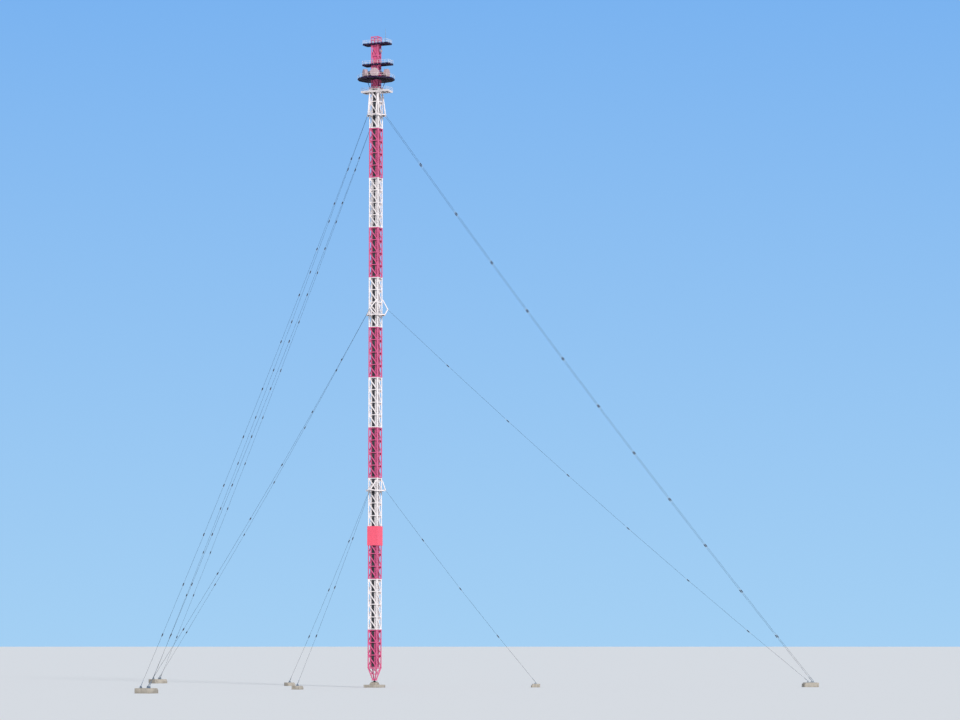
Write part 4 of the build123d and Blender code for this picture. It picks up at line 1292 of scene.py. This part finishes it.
def add_railing(rails, boards, corners, posts, sizes):
    """Tube rails through some corners, with posts on foot plates, and toe boards."""
    radius = sizes.rail / 2
    x, y = 0.0008, 0.009
    for start, end in round_pairs(corners):
        for rise in (sizes.rail_h - radius, sizes.rail_h / 2 + radius):
            add_tube(rails, start + UP * rise, end + UP * rise, radius, 8)
        add_beam(boards, [(-x, -y), (x, -y), (x, y), (-x, y)], start + UP * 0.0105, end + UP * 0.0105)
    for post in posts:
        add_tube(rails, post, post + UP * (sizes.rail_h - radius), radius * 0.9, 8)
        add_tube(rails, post, post + UP * 0.002, radius * 2.0, 8)


class MAST_OT_railings(PieceMaker, bpy.types.Operator):
    """Makes the railings of the four platforms"""

    bl_idname = "mast.railings"
    bl_label = "Railings"

    def build(self, sizes):
        rails = bmesh.new()
        # Toe boards of the higher decks take the nearly black purple deck paint, which is painted shade.
        boards = {"white_paint": bmesh.new(), "deck_paint": bmesh.new()}
        for name, plan in PLATFORMS.items():
            place = plan_place(PLATFORM_HEADING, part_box(name)[1].z + sizes.fit)
            corners = [place @ corner for corner in plan.corners(sizes.rail / 2)]
            posts = []
            for start, end in round_pairs(corners):
                gaps = math.ceil((end - start).length / 0.13)
                posts += [start.lerp(end, k / gaps) for k in range(gaps)]
            add_railing(rails, boards[plan.paint], corners, posts, sizes)
        place = plan_place(PLATFORM_HEADING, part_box("platform_dishes")[1].z + sizes.fit)
        corners = [place @ at(BROAD_R - sizes.rail, 30.0 * k) for k in range(12)]
        add_railing(rails, boards["deck_paint"], corners, corners, sizes)
        place_piece(rails, "railing_tubes", "white_paint", "railings")
        for paint, strips in boards.items():
            place_piece(strips, f"toe_boards_{paint}", paint, "railings")


class MAST_OT_dishes(PieceMaker, bpy.types.Operator):
    """Makes the five drums and the small dish with their covers, rims and posts"""

    bl_idname = "mast.dishes"
    bl_label = "Dishes"

    def build(self, sizes):
        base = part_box("platform_dishes")[1].z + sizes.fit
        radius, half, lift = sizes.drum / 2, sizes.drum_l / 2, 0.018
        shells, mounts = bmesh.new(), bmesh.new()
        for heading in DRUM_HEADINGS:
            spot = at(0.335, heading, base + lift + radius)
            out, side = at(1.0, heading), at(0.045, heading + 90.0)
            self.add_drum(shells, bar_place(spot, spot + out), radius, half)
            back = spot - out * (half + 0.012)
            foot = Vector((back.x, back.y, base))
            add_tube(mounts, foot, foot + UP * (lift + sizes.drum), 0.0058, 14)
            add_tube(mounts, foot, foot + UP * 0.003, 0.012, 14)
            hub = plan_place(heading)
            hub.translation = spot - out * (half + 0.003)
            add_block(mounts, (0.014, 0.024, 0.024), hub)
            for rise in (-0.04, 0.04):
                for way in BOTH:
                    held = spot - out * half + side * way + UP * rise * 1.2
                    add_tube(mounts, back + UP * rise, held, 0.002, 8)
        low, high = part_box("small_dish")
        z, wall = (low.z + high.z) / 2, sizes.head_side / 2 + 0.0053
        spot, out = at(wall + 0.054, PLATFORM_HEADING, z), at(1.0, PLATFORM_HEADING)
        self.add_drum(shells, bar_place(spot, spot + out), 0.04, 0.018)
        add_tube(mounts, at(wall, PLATFORM_HEADING, z), spot - out * 0.016, 0.006, 12)
        add_block(mounts, (0.004, 0.024, 0.024), plan_place(PLATFORM_HEADING, z, wall + 0.002))
        place_piece(shells, "dish_shells", "drum_shell", "drum_dishes", "small_dish")
        place_piece(mounts, "dish_mounts", "galvanised_steel", "drum_dishes", "small_dish")

    def add_drum(self, bm, place, radius, half):
        """Shallow drum with rolled rims and a cover that bulges a little."""
        neck = 0.97
        profile = [(0.0, -1.0), (0.35, -1.0), (0.8, -0.72), (neck, -0.62), (1.0, -0.58), (1.0, -0.48),
                   (neck, -0.44), (neck, 0.72), (1.0, 0.76), (1.0, 0.86), (0.964, 0.88)]
        for share in [k / 5.5 for k in range(5, 0, -1)]:
            profile.append((share * 0.96, 0.88 + 0.12 * math.cos(share * math.pi / 2)))
        profile.append((0.0, 1.0))
        add_turned(bm, [(radius * r, half * z) for r, z in profile], place, 48)


class MAST_OT_crown(PieceMaker, bpy.types.Operator):
    """Makes the open frame and the lightning rod on the highest platform"""

    bl_idname = "mast.crown"
    bl_label = "Top frame"

    def build(self, sizes):
        self.make_frame(sizes)
        self.make_rod(sizes)

    def make_frame(self, sizes):
        """Four posts with three rounds of bars, and a tie rod in each side."""
        low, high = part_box("top_frame")
        tall, bar = high.z - low.z, sizes.top_bar
        span = 0.236 - bar
        place = side_place(SIDE_HEADINGS[0], 0.0, low.z)
        bm = bmesh.new()
        for start, end in round_pairs([Vector((x * span / 2, y * span / 2, 0.0)) for x, y in SQUARE]):
            bevel(bm, add_block(bm, (bar, bar, tall), moved(place, *(start + UP * tall / 2))), 0.0015, 1)
            for z in (bar / 2, tall / 2 + bar / 2, tall - bar / 2):
                along = bar_place(place @ (start + UP * z), place @ (end + UP * z))
                add_block(bm, (bar * 0.86, bar * 0.86, span), moved(along, z=span / 2))
            for k in range(4):
                spot = place @ start + at(bar / 2 + 0.0032, SIDE_HEADINGS[0] + 90.0 * k)
                add_bolt(bm, spot, UP, sizes.bolt, sizes.bolt * 0.7)
            add_tube(bm, place @ (start + UP * bar), place @ (end + UP * tall / 2), 0.003, 8)
        place_piece(bm, "crown_frame", "red_paint", "top_frame")

    def make_rod(self, sizes):
        """Rod in four thinning lengths on a bolted foot."""
        low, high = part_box("lightning_rod")
        tall, thick = high.z - low.z, 0.004
        place = plan_place(PLATFORM_HEADING)
        place.translation = ((low.x + high.x) / 2, (low.y + high.y) / 2, low.z)
        bm = bmesh.new()
        bevel(bm, add_block(bm, (0.036, 0.036, thick), moved(place, z=thick / 2)), 0.0008, 1)
        lengths = ((0.0058, 0.45), (0.0045, 0.47), (0.0045, 0.78), (0.003, 0.8), (0.0022, 0.96), (0.0, 1.0))
        rod = [(0.0, 0.003), (0.0095, 0.003), (0.0095, 0.02), (0.0058, 0.024)]
        add_turned(bm, rod + [(radius, tall * share) for radius, share in lengths], place, 14)
        for x, y in SQUARE:
            add_bolt(bm, place @ Vector((x * 0.013, y * 0.013, thick)), UP, sizes.bolt, sizes.bolt * 0.6)
        place_piece(bm, "rod", "galvanised_steel", "lightning_rod")


class MAST_OT_lamps(PieceMaker, bpy.types.Operator):
    """Makes the obstruction lamps on the guy rings and on the highest platform"""

    bl_idname = "mast.lamps"
    bl_label = "Obstruction lamps"

    def build(self, sizes):
        spots = [at(RING_R - 0.04, heading, level.ring_z + 0.0023)
                 for level in LEVELS for heading in GUY_HEADINGS]
        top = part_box("platform_top")[1].z + sizes.fit
        spots += [at(reach, PLATFORM_HEADING, top) for reach in (-0.3103, 0.3783)]
        dome = [(0.0, 0.0095), (0.0064, 0.0095), (0.0066, 0.018), (0.0055, 0.0228), (0.0032, 0.0253),
                (0.0, 0.026)]
        foot = [(0.0, 0.0), (0.009, 0.0), (0.009, 0.003), (0.0072, 0.004), (0.0072, 0.0085), (0.008, 0.009),
                (0.008, 0.0104), (0.0, 0.0104)]
        pieces = (("lamp_domes", "lamp_glass", dome), ("lamp_bases", "galvanised_steel", foot))
        for name, slot, profile in pieces:
            bm = bmesh.new()
            for spot in spots:
                add_turned(bm, profile, Matrix.Translation(spot), 16)
            place_piece(bm, name, slot, "obstruction_lamps")


class MAST_OT_stage(bpy.types.Operator):
    """Lays the floor, and sets the light and the camera"""

    bl_idname = "mast.stage"
    bl_label = "Stage"

    def execute(self, context):
        bm = bmesh.new()
        bmesh.ops.create_circle(bm, cap_ends=True, radius=2500.0, segments=96)
        floor = self.add_object(context, "floor", mesh_of(bm, "floor"))
        Finish("floor_paper").surface(linear("#D9DDE0"), 0.95)
        floor.data.materials.append(bpy.data.materials["floor_paper"])
        self.light_scene(context)
        data = bpy.data.cameras.new("camera")
        data.sensor_width = 36.0
        data.lens = 123.0
        data.clip_end = 5000.0
        camera = self.add_object(context, "camera", data)
        camera.location = (0.0, -93.7, 1.2)
        aim = Vector((3.0, 0.0, 9.35)) - camera.location
        camera.rotation_euler = aim.to_track_quat("-Z", "Y").to_euler()
        context.scene.camera = camera
        context.scene.view_settings.view_transform = "Standard"
        return {"FINISHED"}

    def add_object(self, context, name, data):
        """Object of the stage."""
        made = bpy.data.objects.new(name, data)
        context.scene.collection.objects.link(made)
        return made

    def light_scene(self, context):
        """Pale sky that lights evenly, and one soft lamp from the right."""
        sun = bpy.data.lights.new("key", "SUN")
        sun.energy = 2.5
        sun.color = (1.0, 0.975, 0.95)
        sun.angle = math.radians(9.0)
        key = self.add_object(context, "key", sun)
        rise = math.radians(30.0)
        key.rotation_euler = at(math.cos(rise), 292.0, math.sin(rise)).to_track_quat("Z", "Y").to_euler()
        world = bpy.data.worlds.new("studio")
        world.use_nodes = True
        context.scene.world = world
        tree = world.node_tree
        tree.nodes.clear()
        # What the camera and shiny faces see is the blue sky, and all else is lit by a pale one.
        rays = add_node(tree, "LightPath").outputs
        seen = rays["Is Camera Ray"]
        for ray in ("Is Glossy Ray", "Is Transmission Ray"):
            seen = add_node(tree, "Math", {0: seen, 1: rays[ray]}, operation="MAXIMUM").outputs["Value"]
        light = add_node(tree, "Background", {"Color": linear("#F6F5F6"), "Strength": 0.66})
        way = add_node(tree, "SeparateXYZ", {"Vector": add_node(tree, "TexCoord").outputs["Generated"]})
        sky = add_node(tree, "ValToRGB", {"Fac": way.outputs["Z"]})
        set_ramp(sky, [(0.0, linear("#A4D0F4")), (0.2, linear("#79B2F0"))])
        view = add_node(tree, "Background", {"Color": sky.outputs["Color"], "Strength": 1.0})
        inputs = {0: seen, 1: light.outputs["Background"], 2: view.outputs["Background"]}
        mixed = add_node(tree, "MixShader", inputs)
        add_node(tree, "OutputWorld", {"Surface": mixed.outputs["Shader"]})


PIECES = (MAST_OT_finishes, MAST_OT_lattice, MAST_OT_foot, MAST_OT_duct, MAST_OT_ladders, MAST_OT_feeders,
          MAST_OT_casing, MAST_OT_dipoles, MAST_OT_rings, MAST_OT_guys, MAST_OT_insulators, MAST_OT_anchors,
          MAST_OT_platforms, MAST_OT_railings, MAST_OT_dishes, MAST_OT_crown, MAST_OT_lamps, MAST_OT_stage)


class MAST_PT_sidebar(bpy.types.Panel):
    """Lists the mast's pieces, sizes and colours"""

    bl_idname = "MAST_PT_sidebar"
    bl_label = "Radio mast"
    bl_space_type = "VIEW_3D"
    bl_region_type = "UI"
    bl_category = "Mast"

    def draw(self, context):
        for operator in PIECES:
            self.layout.operator(operator.bl_idname)
        for group in (context.scene.mast_sizes, context.scene.mast_colours):
            box = self.layout.box()
            for name in group.__annotations__:
                box.prop(group, name)


CLASSES = (MastSizes, MastColours, *PIECES, MAST_PT_sidebar)


def register():
    for item in CLASSES:
        bpy.utils.register_class(item)
    bpy.types.Scene.mast_sizes = PointerProperty(type=MastSizes)
    bpy.types.Scene.mast_colours = PointerProperty(type=MastColours)


def unregister():
    del bpy.types.Scene.mast_colours
    del bpy.types.Scene.mast_sizes
    for item in reversed(CLASSES):
        bpy.utils.unregister_class(item)


def main():
    """Makes every piece."""
    import json

    register()
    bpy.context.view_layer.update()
    for operator in PIECES:
        group, name = operator.bl_idname.split(".")
        getattr(getattr(bpy.ops, group), name)()


if __name__ == "__main__":
    main()
